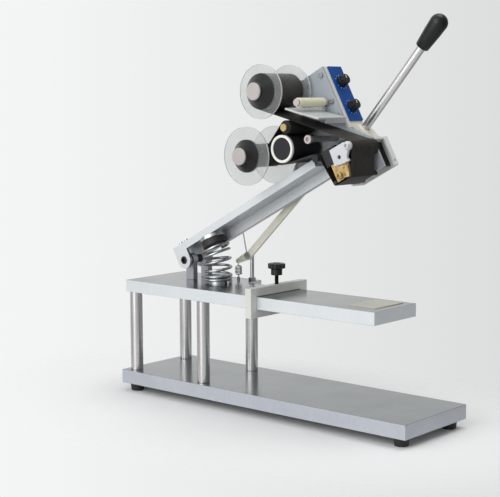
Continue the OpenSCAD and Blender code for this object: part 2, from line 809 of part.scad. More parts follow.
module cord_gland() {
    color("#202123") on_arm() translate([box_s - box_l, gland_y, gland_n]) rotate([0, -90, 0]) difference() {
        union() {
            cylinder(d = gland_d + 5, h = 4, $fn = 6);
            translate([0, 0, 3.9]) cylinder(d1 = gland_d + 3, d2 = gland_d - 1, h = 9);
            translate([0, 0, -box_wall - 2]) cylinder(d = gland_d, h = box_wall + 2.1);
        }
        translate([0, 0, -20]) cylinder(d = 6, h = 40);
    }
}

module front_panel() {
    color("#1f4a8c") on_arm() difference() {
        translate([box_s, panel_y, panel_n])
            cube([panel_t, panel_end - panel_y, box_n + box_h - panel_n - 0.5]);
        for (n = [dial_low_n, dial_high_n]) translate([box_s - 1, dial_y, n]) rotate([0, 90, 0])
            cylinder(d = bush_pot_d + 0.1, h = panel_t + 2);
    }
}

module potentiometers() {
    color("#77797b") on_arm() for (n = [dial_low_n, dial_high_n])
        translate([box_s, dial_y, n]) rotate([0, 90, 0]) difference() {
            union() {
                translate([0, 0, -10]) cylinder(d = 17, h = 10);
                translate([0, 0, -0.1]) cylinder(d = bush_pot_d, h = panel_t + bush_pot_l + 0.1);
            }
            translate([0, 0, -6]) cylinder(d = dial_shaft_d + 2 * turn_fit, h = 20);
        }
}

// Draws a dial knob on its shaft, square to the panel
module dial(n) {
    skirt = 2.5;
    translate([box_s + panel_t + bush_pot_l + run_gap, dial_y, n]) rotate([0, 90, 0]) {
        translate([0, 0, -panel_t - 6]) cylinder(d = dial_shaft_d, h = panel_t + 8);
        difference() {
            union() {
                cylinder(d = dial_d + 2, h = skirt);
                translate([0, 0, skirt - 0.1]) cylinder(d = dial_d, h = dial_l - skirt + 0.1);
            }
            for (a = [15:30:345]) rotate(a) translate([dial_d / 2 + 0.4, 0, skirt + 1])
                cylinder(r = 1, h = dial_l, $fn = 16);
            translate([-dial_d / 2 - 1, -0.5, dial_l - 0.7]) cube([dial_d / 2, 1, 2]);
        }
    }
}

module upper_dial() {
    color("#161617") on_arm() dial(dial_high_n);
}

module lower_dial() {
    color("#161617") on_arm() dial(dial_low_n);
}

frame_rim = 8;

// Folded sheet: a far wall with a front rim, a roof and a back, open at the front and below
module head_frame() {
    far = head_y + head_depth;
    room_h = head_top_n - head_n - head_wall;
    color("#c4c7c9") on_arm() difference() {
        translate([head_back, head_y, head_n]) cube([head_s - head_back, head_depth, head_top_n - head_n]);
        translate([head_back + head_wall, head_y - 1, head_n - 1])
            cube([head_s - head_back - 2 * head_wall, head_depth - head_wall + 1, room_h + 1]);
        translate([head_s - head_wall - 1, head_y - 1, head_n - 1])
            cube([head_wall + 2, head_depth - frame_rim + 1, room_h + 1]);
        translate([head_s - 6, far - frame_rim / 2, head_n + 6]) rotate([0, 90, 0]) cylinder(d = 3, h = 10);
    }
}

module head_cover() {
    color("#5a5d60") on_arm() difference() {
        translate([head_s - 11, head_y, head_n + 3])
            cube([2, head_depth - head_wall - 0.05, head_top_n - head_wall - head_n - 3.1]);
        translate([head_s - 12, head_y + 8, head_n + 22]) rotate([0, 90, 0]) cylinder(d = 4, h = 5);
    }
}

cartridge_d = 10;

module heater_block() {
    color("#a7abae") on_arm() difference() {
        translate([block_s, type_y, block_n])
            cube([block_front - block_s, side_y - type_y, block_top - block_n]);
        bar(heater_at, side_y - 46, side_y + 1, cartridge_d + 0.1);
    }
}

heater_at = [(block_s + block_front) / 2, (block_n + block_top) / 2];

module heater_cartridge() {
    color("#c8a24a") on_arm() bar(heater_at, side_y - 46, side_y, cartridge_d);
}

cheek_t = 3.5;

// The block that holds the type, with a cheek that covers the ends of the rods beside it
module type_holder() {
    boss = [type_s - 3.5, type_n + 4.7];
    cheek = [type_s, type_n];
    color("#c49a4c") on_arm() difference() {
        union() {
            translate([type_s - type_l, type_y - 0.1, type_n])
                cube([type_l, type_end - type_y + 0.1, block_n - type_n]);
            sheet(type_y - cheek_t, cheek_t) polygon([cheek + [-9.5, 3.2], cheek + [7.5, -1.8],
                cheek + [14, 16], cheek + [-4.5, 19]]);
            bar(boss, type_y - cheek_t - 3, type_y - 0.5, 8);
        }
        // Slots for the rows of type
        for (i = [0:2]) translate([type_s - type_l + 1.2 + 3.6 * i, type_y + 8, type_n - 1])
            cube([2.4, type_end - type_y - 14, 2.2]);
        bar(boss, type_y - cheek_t - 4, type_y - cheek_t - 1, 3.4);
    }
}

clamp_plate_t = 4;

// A plate over the cheek, with a knuckle at its front and a lock hole
module type_clamp() {
    at = front_guide;
    knuckle = at + [10, -1.7];
    near = type_y - cheek_t - clamp_plate_t;
    color("#e6e8ea") on_arm() difference() {
        union() {
            sheet(near, clamp_plate_t) {
                polygon([at + [-15.5, -14.5], at + [-4.7, -16.8], at + [5.1, -17.5], at + [3.7, -12.8],
                         at + [9, -6.5], knuckle, at + [7, 4.2], at + [-14.5, 4.6]]);
                translate(knuckle) circle(r = 5);
            }
            bar(knuckle, near - 2.5, near + 1, 8);
        }
        bar(at + [-5.5, -8.2], near - 1, near + clamp_plate_t + 1, 4.4);
        bar(knuckle, near - 4, near, 3.6);
    }
}

// Front bar, two thin rods under the type and the rear bar
module film_guides() {
    color("#2b2c2e") on_arm() {
        bar(front_guide, type_y, side_y, 2 * front_guide_r);
        bar(front_low, type_y, side_y, 2 * low_guide_r);
        bar(rear_low, type_y, side_y, 2 * low_guide_r);
        bar(rear_guide, type_y, side_y, 2 * rear_guide_r);
    }
}

post_thread_d = 5;
post_places = [[sleeve_s, sleeve_n], [post_s, post_n]];
sleeve_stud_d = 6;

// The stud of the ivory sleeve and the plain guide post with its pale end
module film_posts() {
    color("#c7bfc0") on_arm() {
        bar([sleeve_s, sleeve_n], roller_y - 3, side_y, sleeve_stud_d);
        bar([sleeve_s, sleeve_n], roller_y - 3, roller_y - run_gap, sleeve_stud_d + 2.5);
        bar([sleeve_s, sleeve_n], roller_end + run_gap, side_y, sleeve_stud_d + 2);
        tube([post_s, post_n], roller_y, roller_y + 4, 10, 5);
        bar([post_s, post_n], roller_y + 3, side_y, 7);
        for (at = post_places) bar(at, side_y - 0.1, head_y, post_thread_d);
    }
}

module guide_sleeve() {
    color("#d9d3b4") on_arm()
        tube([sleeve_s, sleeve_n], roller_y, roller_end, 2 * sleeve_r, sleeve_stud_d + 2 * turn_fit);
}

module film_web() {
    color("#2c2a28") on_arm() sheet(film_y, film_w)
        polygon(concat(band_side(film_stations, film_t / 2), reversed(band_side(film_stations, -film_t / 2))));
}

module film_tray() {
    run = tray_to - tray_from;
    length = norm(run);
    color("#c9ccd0") on_arm() translate([tray_from[0], 0, tray_from[1]])
        rotate([0, -atan2(run[1], run[0]), 0]) {
            translate([0, film_y - 2, 0]) cube([length, tray_end - film_y + 2, tray_t]);
            translate([length - tray_t, film_y + 14, -5]) cube([tray_t, tray_end - film_y - 14, 5.1]);
            translate([2, tray_end - 1, 0]) cube([16, side_y - tray_end + 1, 7]);
        }
}

module shaft_bushes() {
    color("#222324") on_arm() {
        for (at = [[takeup_s, takeup_n], [drive_s, drive_n]]) difference() {
            union() {
                bar(at, side_y - bush_flange, side_y, bush_d + 4);
                bar(at, side_y - 0.1, head_y + 1.5, bush_d);
            }
            bar(at, side_y - 10, head_y + 10, shaft_d + 2 * turn_fit);
        }
        tube([supply_s, supply_n], side_y - bush_flange, side_y, bush_d + 4, shaft_d + 0.02);
    }
}

module supply_shaft() {
    color("#c9ccd0") on_arm() bar([supply_s, supply_n], hub_y + 0.5, head_y + 2, shaft_d);
}

module pinch_axle() {
    color("#c8a65a") on_arm() {
        bar([pinch_s, pinch_n], roller_y - 3.5, head_y, pinch_axle_d);
        bar([pinch_s, pinch_n], roller_y - 4, roller_y - run_gap, 9);
        bar([pinch_s, pinch_n], roller_end + run_gap, side_y, 9);
    }
}

module pinch_roller() {
    color("#1f1f20") on_arm()
        tube([pinch_s, pinch_n], roller_y, roller_end, pinch_d, pinch_axle_d + 2 * turn_fit);
}

module drive_belt() {
    color("#2f9e44") on_arm() sheet(pulley_y + (pulley_w - belt_d) / 2, belt_d) difference() {
        polygon(loop_side(belt_stations, -belt_d / 2));
        polygon(loop_side(belt_stations, belt_d / 2));
    }
}

// A wedge on the head frame whose front stands square to the rod
module handle_block() {
    top = box_n - 0.5;
    lean = tan(handle_slope);
    front = handle_s + 2.6;
    color("#cfcdc2") on_arm() difference() {
        sheet(handle_y - handle_block_w / 2, handle_block_w)
            polygon([[box_s + panel_t, head_top_n], [box_s + panel_t, top],
                     [front - (top - handle_n) * lean, top],
                     [front + (handle_n - head_top_n) * lean, head_top_n]]);
        handle_axis() translate([0, 0, -handle_root]) cylinder(d = handle_d + 0.02, h = 40);
    }
}

module handle_axis() {
    translate([handle_s, handle_y, handle_n]) rotate([0, 90 - handle_slope, 0]) children();
}

module handle_rod() {
    color("#cdd0d4") on_arm() handle_axis()
        translate([0, 0, -handle_root]) cylinder(d = handle_d, h = handle_root + handle_l + handle_in_grip);
}

// The grip swells towards its rounded top
module handle_grip() {
    low = grip_d * 0.43;
    color("#19191b") on_arm() handle_axis() translate([0, 0, handle_l]) difference() {
        rotate_extrude() intersection() {
            square([grip_d, grip_l + 1]);
            union() {
                polygon([[0, 0], [low, 0], [low + 0.7, 0.8], [grip_d / 2, grip_l * 0.55],
                         [grip_d / 2, grip_l - grip_d / 2], [0, grip_l - grip_d / 2]]);
                translate([0, grip_l - grip_d / 2]) circle(r = grip_d / 2);
            }
        }
        translate([0, 0, -1]) cylinder(d = handle_d + 0.02, h = handle_in_grip + 1);
    }
}

module supply_roll() {
    color("#2a2827") on_arm()
        tube([supply_s, supply_n], spool_y, far_disc_y, supply_roll_d, shaft_d + 2 * turn_fit);
}

module reel_discs(at, d, bore) {
    for (y = [disc_y, far_disc_y]) tube(at, y, y + disc_t, d, bore);
}

module hub_cone(at, d, bore) {
    difference() {
        bar(at, hub_y, disc_y, 2 * cap_r + 0.8, d);
        bar(at, hub_y - 1, disc_y + 1, bore);
    }
}

module supply_discs() {
    color("#dfe3e4") on_arm() reel_discs([supply_s, supply_n], supply_disc_d, shaft_d + 2 * turn_fit);
}

module supply_hub() {
    color("#1d1d1e") on_arm() hub_cone([supply_s, supply_n], 42, shaft_d + 2 * turn_fit);
}

module supply_cap() {
    color("#d2cfcb") on_arm() bar([supply_s, supply_n], cap_y, hub_y, 2 * cap_r);
}

spool_flange_d = 39;

module takeup_spool() {
    at = [takeup_s, takeup_n];
    color("#242425") on_arm() difference() {
        union() {
            bar(at, spool_y, spool_y + 2.5, spool_flange_d);
            bar(at, spool_y + 2.4, far_disc_y, takeup_roll_d);
        }
        bar(at, spool_y - 1, far_disc_y + 1, shaft_d + 0.02);
    }
}

module takeup_discs() {
    color("#dfe3e4") on_arm() reel_discs([takeup_s, takeup_n], takeup_disc_d, shaft_d + 0.02);
}

module takeup_hub() {
    color("#1d1d1e") on_arm() hub_cone([takeup_s, takeup_n], spool_flange_d, shaft_d + 0.02);
}

module takeup_shaft() {
    at = [takeup_s, takeup_n];
    color("#d2cfcb") on_arm() {
        bar(at, cap_y, pulley_y + pulley_w, shaft_d);
        bar(at, cap_y, hub_y, 2 * cap_r);
    }
}

// A pulley with a groove for the round belt
module pulley(at, pitch_d) {
    groove_w = belt_d + 2 * film_gap;
    groove_y = pulley_y + (pulley_w - groove_w) / 2;
    difference() {
        bar(at, pulley_y, pulley_y + pulley_w, pitch_d + 2);
        tube(at, groove_y, groove_y + groove_w, pitch_d + 10, pitch_d - belt_d - 2 * film_gap);
        bar(at, pulley_y - 1, pulley_y + pulley_w + 1, shaft_d + 0.02);
    }
}

module takeup_pulley() {
    color("#3b3d40") on_arm() pulley([takeup_s, takeup_n], takeup_pulley_d);
}

module drive_roller() {
    at = [drive_s, drive_n];
    color("#3a3a3c") on_arm() difference() {
        union() {
            bar(at, roller_y, roller_end, drive_d);
            bar(at, roller_y - 2, roller_y + 1, drive_d - 7);
        }
        bar(at, roller_y + 5, roller_end + 1, shaft_d + 0.02);
    }
}

module drive_ring() {
    color("#eceae6") on_arm()
        tube([drive_s, drive_n], roller_y - 3, roller_y, drive_d - 0.6, drive_d - 7 + 0.02);
}

module drive_shaft() {
    at = [drive_s, drive_n];
    color("#c3c6c9") on_arm() {
        bar(at, roller_y + 5, rod_y + 1, shaft_d);
        bar(at, crank_y + crank_t + run_gap, rod_y + 1, shaft_d + 5);
    }
}

module drive_pulley() {
    color("#3b3d40") on_arm() pulley([drive_s, drive_n], drive_pulley_d);
}

module feed_crank() {
    at = [drive_s, drive_n];
    pin = [crank_pin_s, crank_pin_n];
    color("#9a9da0") on_arm() difference() {
        union() {
            sheet(crank_y, crank_t) link_outline(at, pin, shaft_d / 2 + 4, pivot_d / 2 + 2);
            bar(pin, crank_y, rod_y + rod_t + 1, pivot_d);
            bar(pin, crank_y, rod_y - run_gap, pivot_d + 2);
        }
        bar(at, crank_y - 1, crank_y + crank_t + 1, shaft_d + 2 * turn_fit);
    }
}

// The rod pivots on the anchor post; its slotted upper end takes the crank's pin
module feed_rod() {
    slot_w = pivot_d + 2 * run_gap + 0.8;
    head_r = (slot_w + slot_play) / 2 + 2.2;
    eye = [cos(rod_slope) * tail[0] + sin(rod_slope) * tail[1],
           cos(rod_slope) * tail[1] - sin(rod_slope) * tail[0]];
    color("#ddd8c6") placed() translate([anchor[0], 0, anchor[1]]) rotate([0, -rod_slope, 0]) difference() {
        sheet(rod_y, rod_t) {
            difference() {
                union() {
                    translate([0, -rod_w / 2]) square([rod_l, rod_w]);
                    link_outline([0, 0], eye, rod_w / 2 + 1, 3);
                    translate([rod_l, 0]) circle(r = head_r);
                }
                translate([rod_l - slot_play / 2, -slot_w / 2]) square([slot_play, slot_w]);
                for (x = [-1, 1]) translate([rod_l + x * slot_play / 2, 0]) circle(d = slot_w);
            }
        }
        bar([0, 0], rod_y - 1, rod_y + rod_t + 1, pivot_d);
        bar(eye, rod_y - 1, rod_y + rod_t + 1, 2.4);
    }
}

base_plate();
rubber_feet();
posts();
frame_screws();
bed_plate();
print_pad();
hinge_bracket();
hinge_pin();
lift_spring();
spring_stud();
anchor_post();
feed_spring();
table_stop();
clamp_screw();
clamp_knob();
arm_bar();
rubber_bumper();
spring_cup();
side_plate();
head_screws();
control_box();
front_panel();
potentiometers();
cord_gland();
head_frame();
head_cover();
heater_block();
heater_cartridge();
type_holder();
type_clamp();
film_guides();
film_posts();
film_web();
film_tray();
shaft_bushes();
supply_shaft();
pinch_axle();
drive_belt();
handle_block();
handle_rod();
handle_grip();
supply_roll();
supply_discs();
supply_hub();
supply_cap();
takeup_spool();
takeup_discs();
takeup_hub();
takeup_shaft();
takeup_pulley();
drive_roller();
drive_ring();
drive_shaft();
drive_pulley();
pinch_roller();
guide_sleeve();
feed_rod();
feed_crank();
upper_dial();
lower_dial();
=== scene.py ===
import bmesh
import bpy
import math
from mathutils import Matrix, Vector


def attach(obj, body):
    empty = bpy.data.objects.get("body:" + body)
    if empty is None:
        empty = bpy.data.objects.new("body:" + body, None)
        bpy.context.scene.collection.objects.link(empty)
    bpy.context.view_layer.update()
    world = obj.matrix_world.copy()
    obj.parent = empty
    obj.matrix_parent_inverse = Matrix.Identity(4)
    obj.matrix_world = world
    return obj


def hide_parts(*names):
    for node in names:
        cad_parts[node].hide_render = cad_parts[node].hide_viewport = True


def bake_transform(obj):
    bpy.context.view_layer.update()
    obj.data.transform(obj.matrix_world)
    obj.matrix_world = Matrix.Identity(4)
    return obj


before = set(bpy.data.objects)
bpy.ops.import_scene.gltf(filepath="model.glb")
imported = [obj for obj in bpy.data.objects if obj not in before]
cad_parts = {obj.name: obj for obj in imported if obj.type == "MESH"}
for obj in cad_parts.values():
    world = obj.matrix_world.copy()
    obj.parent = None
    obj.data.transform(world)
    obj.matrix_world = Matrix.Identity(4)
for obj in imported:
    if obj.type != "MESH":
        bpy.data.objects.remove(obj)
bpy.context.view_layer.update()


# Studio: one camera at the photograph's angle, and a pale backdrop that is a little darker to the right.
# The lamps are soft: a wide key at the front left, a weak upright strip beside it and a panel overhead.
# Colours everywhere are sRGB hex, which this one function turns to linear.
def srgb(code):
    parts = [int(code[i:i + 2], 16) / 255 for i in (1, 3, 5)]
    return tuple(p / 12.92 if p <= 0.04045 else ((p + 0.055) / 1.055) ** 2.4 for p in parts) + (1.0,)


# Adds a node with its settings. An input is a value, a socket to link from, or a node for its first socket.
def add(tree, kind, inputs=None, **settings):
    made = tree.nodes.new(kind)
    for key, value in settings.items():
        setattr(made, key, value)
    for key, value in (inputs or {}).items():
        value = value.outputs[0] if isinstance(value, bpy.types.Node) else value
        if isinstance(value, bpy.types.NodeSocket):
            tree.links.new(value, made.inputs[key])
        else:
            made.inputs[key].default_value = value
    return made


def maths(tree, kind, a, b):
    return add(tree, "ShaderNodeMath", {0: a, 1: b}, operation=kind)


scene = bpy.context.scene
scene.view_settings.view_transform = "Standard"


def show(name, data):
    made = bpy.data.objects.new(name, data)
    scene.collection.objects.link(made)
    return made


camera = show("camera", bpy.data.cameras.new("camera"))
camera.data.lens, camera.data.sensor_width = 91.03, 36.0
camera.data.clip_start, camera.data.clip_end = 0.05, 50.0
view_right = Vector((0.75450, 0.65628, -0.00359))
view_up = Vector((-0.07517, 0.09186, 0.99293))
view_back = Vector((0.65198, -0.74890, 0.11864))
view_place = Matrix.Translation((0.96288, -1.16454, 0.37691))
camera.matrix_world = view_place @ Matrix((view_right, view_up, view_back)).transposed().to_4x4()
scene.camera = camera

world = bpy.data.worlds.new("pale_studio")
scene.world = world
world.use_nodes = True
sky = world.node_tree
sky_way = add(sky, "ShaderNodeTexCoord").outputs["Generated"]
sky_right = add(sky, "ShaderNodeVectorMath", {0: sky_way, 1: view_right}, operation="DOT_PRODUCT")
sky_turn = add(sky, "ShaderNodeMapRange", {
    "Value": sky_right.outputs["Value"], "From Min": -1.0, "From Max": 1.0})


# A shade that runs from the left of the view, at 0, to its right, at 1.
def sky_shade(stops):
    made = add(sky, "ShaderNodeValToRGB", {"Fac": sky_turn})
    made.color_ramp.elements[0].color = srgb(stops[0][1])
    made.color_ramp.elements[1].color = srgb(stops[-1][1])
    for place, code in stops[1:-1]:
        made.color_ramp.elements.new(place).color = srgb(code)
    return made


# The backdrop stays pale all round. Bright metal mirrors the same backdrop, but greyer at the two
# sides, as in a studio with grey cards beside the object.
pale_sky = sky_shade(((0, "#f1f2f2"), (0.3, "#f8f9f9"), (0.42, "#f3f5f4"), (0.6, "#dcdedd"), (1, "#d3d5d5")))
mirrored_sky = sky_shade(((0, "#bcbebf"), (0.16, "#f6f7f7"), (0.42, "#f0f2f1"), (0.6, "#dcdedd"),
                          (0.76, "#b2b4b5"), (1, "#909293")))
ray = add(sky, "ShaderNodeLightPath").outputs
shown_sky = add(sky, "ShaderNodeMix", {
    0: ray["Is Glossy Ray"], 6: pale_sky, 7: mirrored_sky}, data_type="RGBA")
seen = maths(sky, "MAXIMUM", ray["Is Camera Ray"], ray["Is Glossy Ray"])
seen = maths(sky, "MAXIMUM", seen, ray["Is Transmission Ray"])
backdrop = sky.nodes["Background"]
sky.links.new(shown_sky.outputs[2], backdrop.inputs["Color"])
soft_fill = add(sky, "ShaderNodeBackground", {"Color": srgb("#f3f3f2"), "Strength": 0.55})
sky_mix = add(sky, "ShaderNodeMixShader", {0: seen, 1: soft_fill, 2: backdrop})
sky.links.new(sky_mix.outputs[0], sky.nodes["World Output"].inputs["Surface"])


# Places and sizes are in metres, and power in watts.
def lamp(name, at, aim, size, power, code):
    data = bpy.data.lights.new(name, "AREA")
    data.shape, data.size, data.size_y = "RECTANGLE", size[0], size[1]
    data.energy, data.color = power, srgb(code)[:3]
    made = show(name, data)
    made.location = at
    made.rotation_euler = (Vector(at) - Vector(aim)).to_track_quat("Z", "Y").to_euler()


lamp("key_lamp", (-0.35, -2.3, 1.3), (0.0, 0.0, 0.2), (2.8, 2.8), 51.0, "#fcfdff")
lamp("strip_lamp", (0.02, -1.7, 0.4), (0.0, 0.0, 0.25), (0.5, 1.7), 3.2, "#fff6ea")
lamp("top_lamp", (0.3, 0.4, 2.2), (0.0, 0.0, 0.2), (1.6, 1.2), 16.0, "#ffffff")

# Floor: a disc of studio paper, laid loose under the object, that fades into the backdrop.
# Matt paper has no gloss, so only the soft shadow shows.
floor_form = bmesh.new()
bmesh.ops.create_circle(floor_form, cap_ends=True, segments=96, radius=2.4)
floor_mesh = bpy.data.meshes.new("floor")
floor_form.to_mesh(floor_mesh)
floor_form.free()
floor = show("floor", floor_mesh)
floor_paper = bpy.data.materials.new("pale_floor_paper")
floor_paper.use_nodes = True
paper = floor_paper.node_tree
paper_place = add(paper, "ShaderNodeMapping", {
    "Vector": add(paper, "ShaderNodeTexCoord").outputs["Object"],
    "Scale": (0.4, 0.24, 1.0)}, vector_type="TEXTURE")
paper_reach = add(paper, "ShaderNodeVectorMath", {0: paper_place}, operation="LENGTH")
paper_fade = add(paper, "ShaderNodeMapRange", {
    "Value": paper_reach.outputs["Value"], "From Min": 0.55, "From Max": 1.3},
    interpolation_type="SMOOTHSTEP")
paper_clear = add(paper, "ShaderNodeBsdfTransparent")
paper_face = paper.nodes["Principled BSDF"]
paper_face.inputs["Base Color"].default_value = srgb("#eceeee")
paper_face.inputs["Roughness"].default_value = 0.9
paper_mix = add(paper, "ShaderNodeMixShader", {0: paper_fade, 1: paper_face, 2: paper_clear})
paper.links.new(paper_mix.outputs[0], paper.nodes["Material Output"].inputs["Surface"])
floor_mesh.materials.append(floor_paper)

# Base plate: a thick flat of aluminium, ground along its length and nickel plated, with milled edges.
# Its corners are broken by a fine chamfer, and feet and posts are fixed to it.
# Sizes are in millimetres, and MM turns them into the frame's metres.
MM = 0.001


# A surface whose colour, roughness and relief wander between two values. Grain is the pattern's size, or
# its sizes along x, y and z, patch the size of the slow change over the whole piece and relief the height
# of the grain, all in millimetres. Turn is the grain's angle in the plane of the arm.
def worked(name, pale, dark, grain, rough, relief=0.0, patch=45.0, turn=0.0, **values):
    grain = (grain,) * 3 if isinstance(grain, float) else grain
    made = bpy.data.materials.new(name)
    made.use_nodes = True
    tree = made.node_tree
    shader = tree.nodes["Principled BSDF"]
    for socket in shader.inputs:
        key = socket.name.replace(" ", "_").lower()
        if key in values:
            socket.default_value = values[key]
    place = add(tree, "ShaderNodeTexCoord").outputs["Object"]
    lie = add(tree, "ShaderNodeMapping", {
        "Vector": place, "Rotation": (0.0, math.radians(turn), 0.0),
        "Scale": [g * MM for g in grain]}, vector_type="TEXTURE")
    fine = add(tree, "ShaderNodeTexNoise", {"Vector": lie, "Scale": 1.0, "Detail": 3.0, "Roughness": 0.6})
    slow = add(tree, "ShaderNodeTexNoise", {"Vector": place, "Scale": 1 / (patch * MM), "Detail": 2.0})
    both = maths(tree, "ADD", fine, slow)
    share = add(tree, "ShaderNodeMapRange", {"Value": both, "From Min": 0.7, "From Max": 1.3})
    tint = add(tree, "ShaderNodeMix", {0: share, 6: srgb(pale), 7: srgb(dark)}, data_type="RGBA")
    tree.links.new(tint.outputs[2], shader.inputs["Base Color"])
    polish = add(tree, "ShaderNodeMapRange", {
        "Value": both, "From Min": 0.6, "From Max": 1.4, "To Min": rough[0], "To Max": rough[1]})
    tree.links.new(polish.outputs[0], shader.inputs["Roughness"])
    if relief:
        bump = add(tree, "ShaderNodeBump", {"Height": fine, "Strength": 1.0, "Distance": relief * MM})
        tree.links.new(bump.outputs[0], shader.inputs["Normal"])
    return made


# Shades a form smooth, except over edges sharper than the angle.
def smooth(form, angle=28):
    mesh = bpy.data.meshes.new("form")
    form.to_mesh(mesh)
    form.free()
    mesh.shade_smooth()
    mesh.set_sharp_from_angle(angle=math.radians(angle))
    return mesh


# A merged copy of a node's mesh whose sharp edges are broken by a chamfer.
def machined(node, chamfer):
    form = bmesh.new()
    form.from_mesh(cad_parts[node].data)
    bmesh.ops.remove_doubles(form, verts=form.verts, dist=2e-6)
    bmesh.ops.dissolve_limit(form, angle_limit=math.radians(0.4), verts=form.verts, edges=form.edges)
    sharp = math.radians(40)
    edges = [e for e in form.edges if len(e.link_faces) == 2 and e.calc_face_angle(0.0) > sharp]
    bmesh.ops.bevel(form, geom=edges, offset=chamfer * MM, segments=1, affect="EDGES", clamp_overlap=True)
    return smooth(form)


def coated(name, mesh, material):
    mesh.name = name
    mesh.materials.clear()
    mesh.materials.append(material)
    return show(name, mesh)


# Gives a mesh its finish and fixes it to the body that carries it, in place of the named nodes.
def fit(name, mesh, material, body, slot, *nodes):
    made = coated(name, mesh, material)
    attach(made, body)
    if nodes:
        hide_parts(*nodes)
    return made


# Fits a node's own shape, with its edges broken.
def fit_node(name, node, chamfer, material, body, slot):
    return fit(name, machined(node, chamfer), material, body, slot, node)


# Gives the faces that a rule on their normal picks out a second finish.
def second_finish(made, material, rule):
    made.data.materials.append(material)
    for face in made.data.polygons:
        face.material_index = int(rule(face.normal))


def upright(normal):
    return abs(normal.z) < 0.6


# Nickel over a ground face: a soft mirror, drawn out into long fine lines along the plate. The lines
# are drawn at 0.5 mm, coarser than the real grit, so that they show.
plate_face = worked("ground_nickel_plate", "#939697", "#888b8d", (160, 0.5, 0.5), (0.15, 0.23), metallic=1.0)
# A milled edge: paler and bluer than the face, and dull. Its upright cutter marks are drawn at 0.6 mm,
# coarser than real.
plate_edge = worked("milled_plate_edge", "#babec5", "#aeb2bb", (0.6, 0.6, 9), (0.36, 0.5), 0.006,
                    metallic=0.45)
base = fit_node("base_plate_finished", "base_plate", 0.7, plate_face, "base", "aluminium_plate")
second_finish(base, plate_edge, upright)

# Rubber feet: four tapered feet, moulded in rubber, each with a recess for the screw that holds it.
# One is turned as a closed ring and set out under the corners of the base.
CENTRE_X, CENTRE_Y = 220.0, 59.15
UPWARD = (0, 0, 1)


# A place in millimetres from the near left corner of the base plate, and up from the bench.
def ground(x, y, z):
    return Vector((x - CENTRE_X, y - CENTRE_Y, z)) * MM


# Turns a profile of (distance along, radius) in millimetres round an axis. A radius of nothing makes
# a pole, closed joins the last ring to the first, and flutes are (how many, depth, from, to).
def turned(at, way, profile, count=72, closed=False, flutes=None):
    way = Vector(way).normalized()
    across = way.orthogonal().normalized()
    other = way.cross(across)
    form = bmesh.new()
    rings = []
    for along, radius in profile:
        middle = Vector(at) + way * along * MM
        if radius < 1e-6:
            rings.append([form.verts.new(middle)])
            continue
        ring = []
        for i in range(count):
            a = math.tau * i / count
            r = radius
            if flutes and flutes[2] <= along <= flutes[3]:
                r -= flutes[1] * max(0.0, math.cos(flutes[0] * a)) ** 3
            ring.append(form.verts.new(middle + (across * math.cos(a) + other * math.sin(a)) * r * MM))
        rings.append(ring)
    pairs = list(zip(rings, rings[1:])) + ([(rings[-1], rings[0])] if closed else [])
    for a, b in pairs:
        for i in range(count):
            j = (i + 1) % count
            if len(a) == 1:
                form.faces.new((a[0], b[j], b[i]))
            elif len(b) == 1:
                form.faces.new((a[i], a[j], b[0]))
            else:
                form.faces.new((a[i], a[j], b[j], b[i]))
    bmesh.ops.recalc_face_normals(form, faces=form.faces)
    return smooth(form)


# A tree starts with its named inputs, the finish last, and ends as real meshes in that finish.
def start_tree(name, *inputs):
    tree = bpy.data.node_groups.new(name, "GeometryNodeTree")
    for label, kind in inputs + (("Finish", "Material"),):
        tree.interface.new_socket(label, in_out="INPUT", socket_type="NodeSocket" + kind)
    tree.interface.new_socket("Made", in_out="OUTPUT", socket_type="NodeSocketGeometry")
    return tree, add(tree, "NodeGroupInput").outputs


def end_tree(tree, given, last):
    real = add(tree, "GeometryNodeRealizeInstances", {"Geometry": last})
    painted = add(tree, "GeometryNodeSetMaterial", {"Geometry": real, "Material": given["Finish"]})
    add(tree, "NodeGroupOutput", {0: painted})
    return tree


# The tree sets a turned piece out on points and stretches it to the width and height asked for.
def set_out_tree():
    tree, given = start_tree("set_out", ("Points", "Geometry"), ("Piece", "Object"), ("Width", "Float"),
                             ("Height", "Float"))
    one = add(tree, "GeometryNodeObjectInfo", {"Object": given["Piece"]})
    size = add(tree, "ShaderNodeCombineXYZ", {
        "X": given["Width"], "Y": given["Width"], "Z": given["Height"]})
    many = add(tree, "GeometryNodeInstanceOnPoints", {
        "Points": given["Points"], "Instance": one.outputs["Geometry"], "Scale": size})
    return end_tree(tree, given, many)


# Runs a tree on a mesh and gives back the plain mesh that comes out of it.
def grown(start, tree, **values):
    carrier = show("carrier", start)
    modifier = carrier.modifiers.new("grow", "NODES")
    modifier.node_group = tree
    for item in tree.interface.items_tree:
        key = item.name.replace(" ", "_").lower()
        if item.in_out == "INPUT" and key in values:
            modifier[item.identifier] = values[key]
    depsgraph = bpy.context.evaluated_depsgraph_get()
    mesh = bpy.data.meshes.new_from_object(carrier.evaluated_get(depsgraph), depsgraph=depsgraph)
    carrier.modifiers.remove(modifier)
    bpy.data.objects.remove(carrier)
    return mesh


def points(places):
    mesh = bpy.data.meshes.new("points")
    mesh.from_pydata([tuple(p) for p in places], [], [])
    return mesh


set_out_from_tree = set_out_tree()


def set_out(profile, places, finish, closed=False):
    first = show("first", turned((0, 0, 0), UPWARD, profile, closed=closed))
    mesh = grown(points(places), set_out_from_tree, piece=first, width=1.0, height=1.0, finish=finish)
    bpy.data.objects.remove(first)
    mesh.shade_smooth()
    mesh.set_sharp_from_angle(angle=math.radians(28))
    return mesh


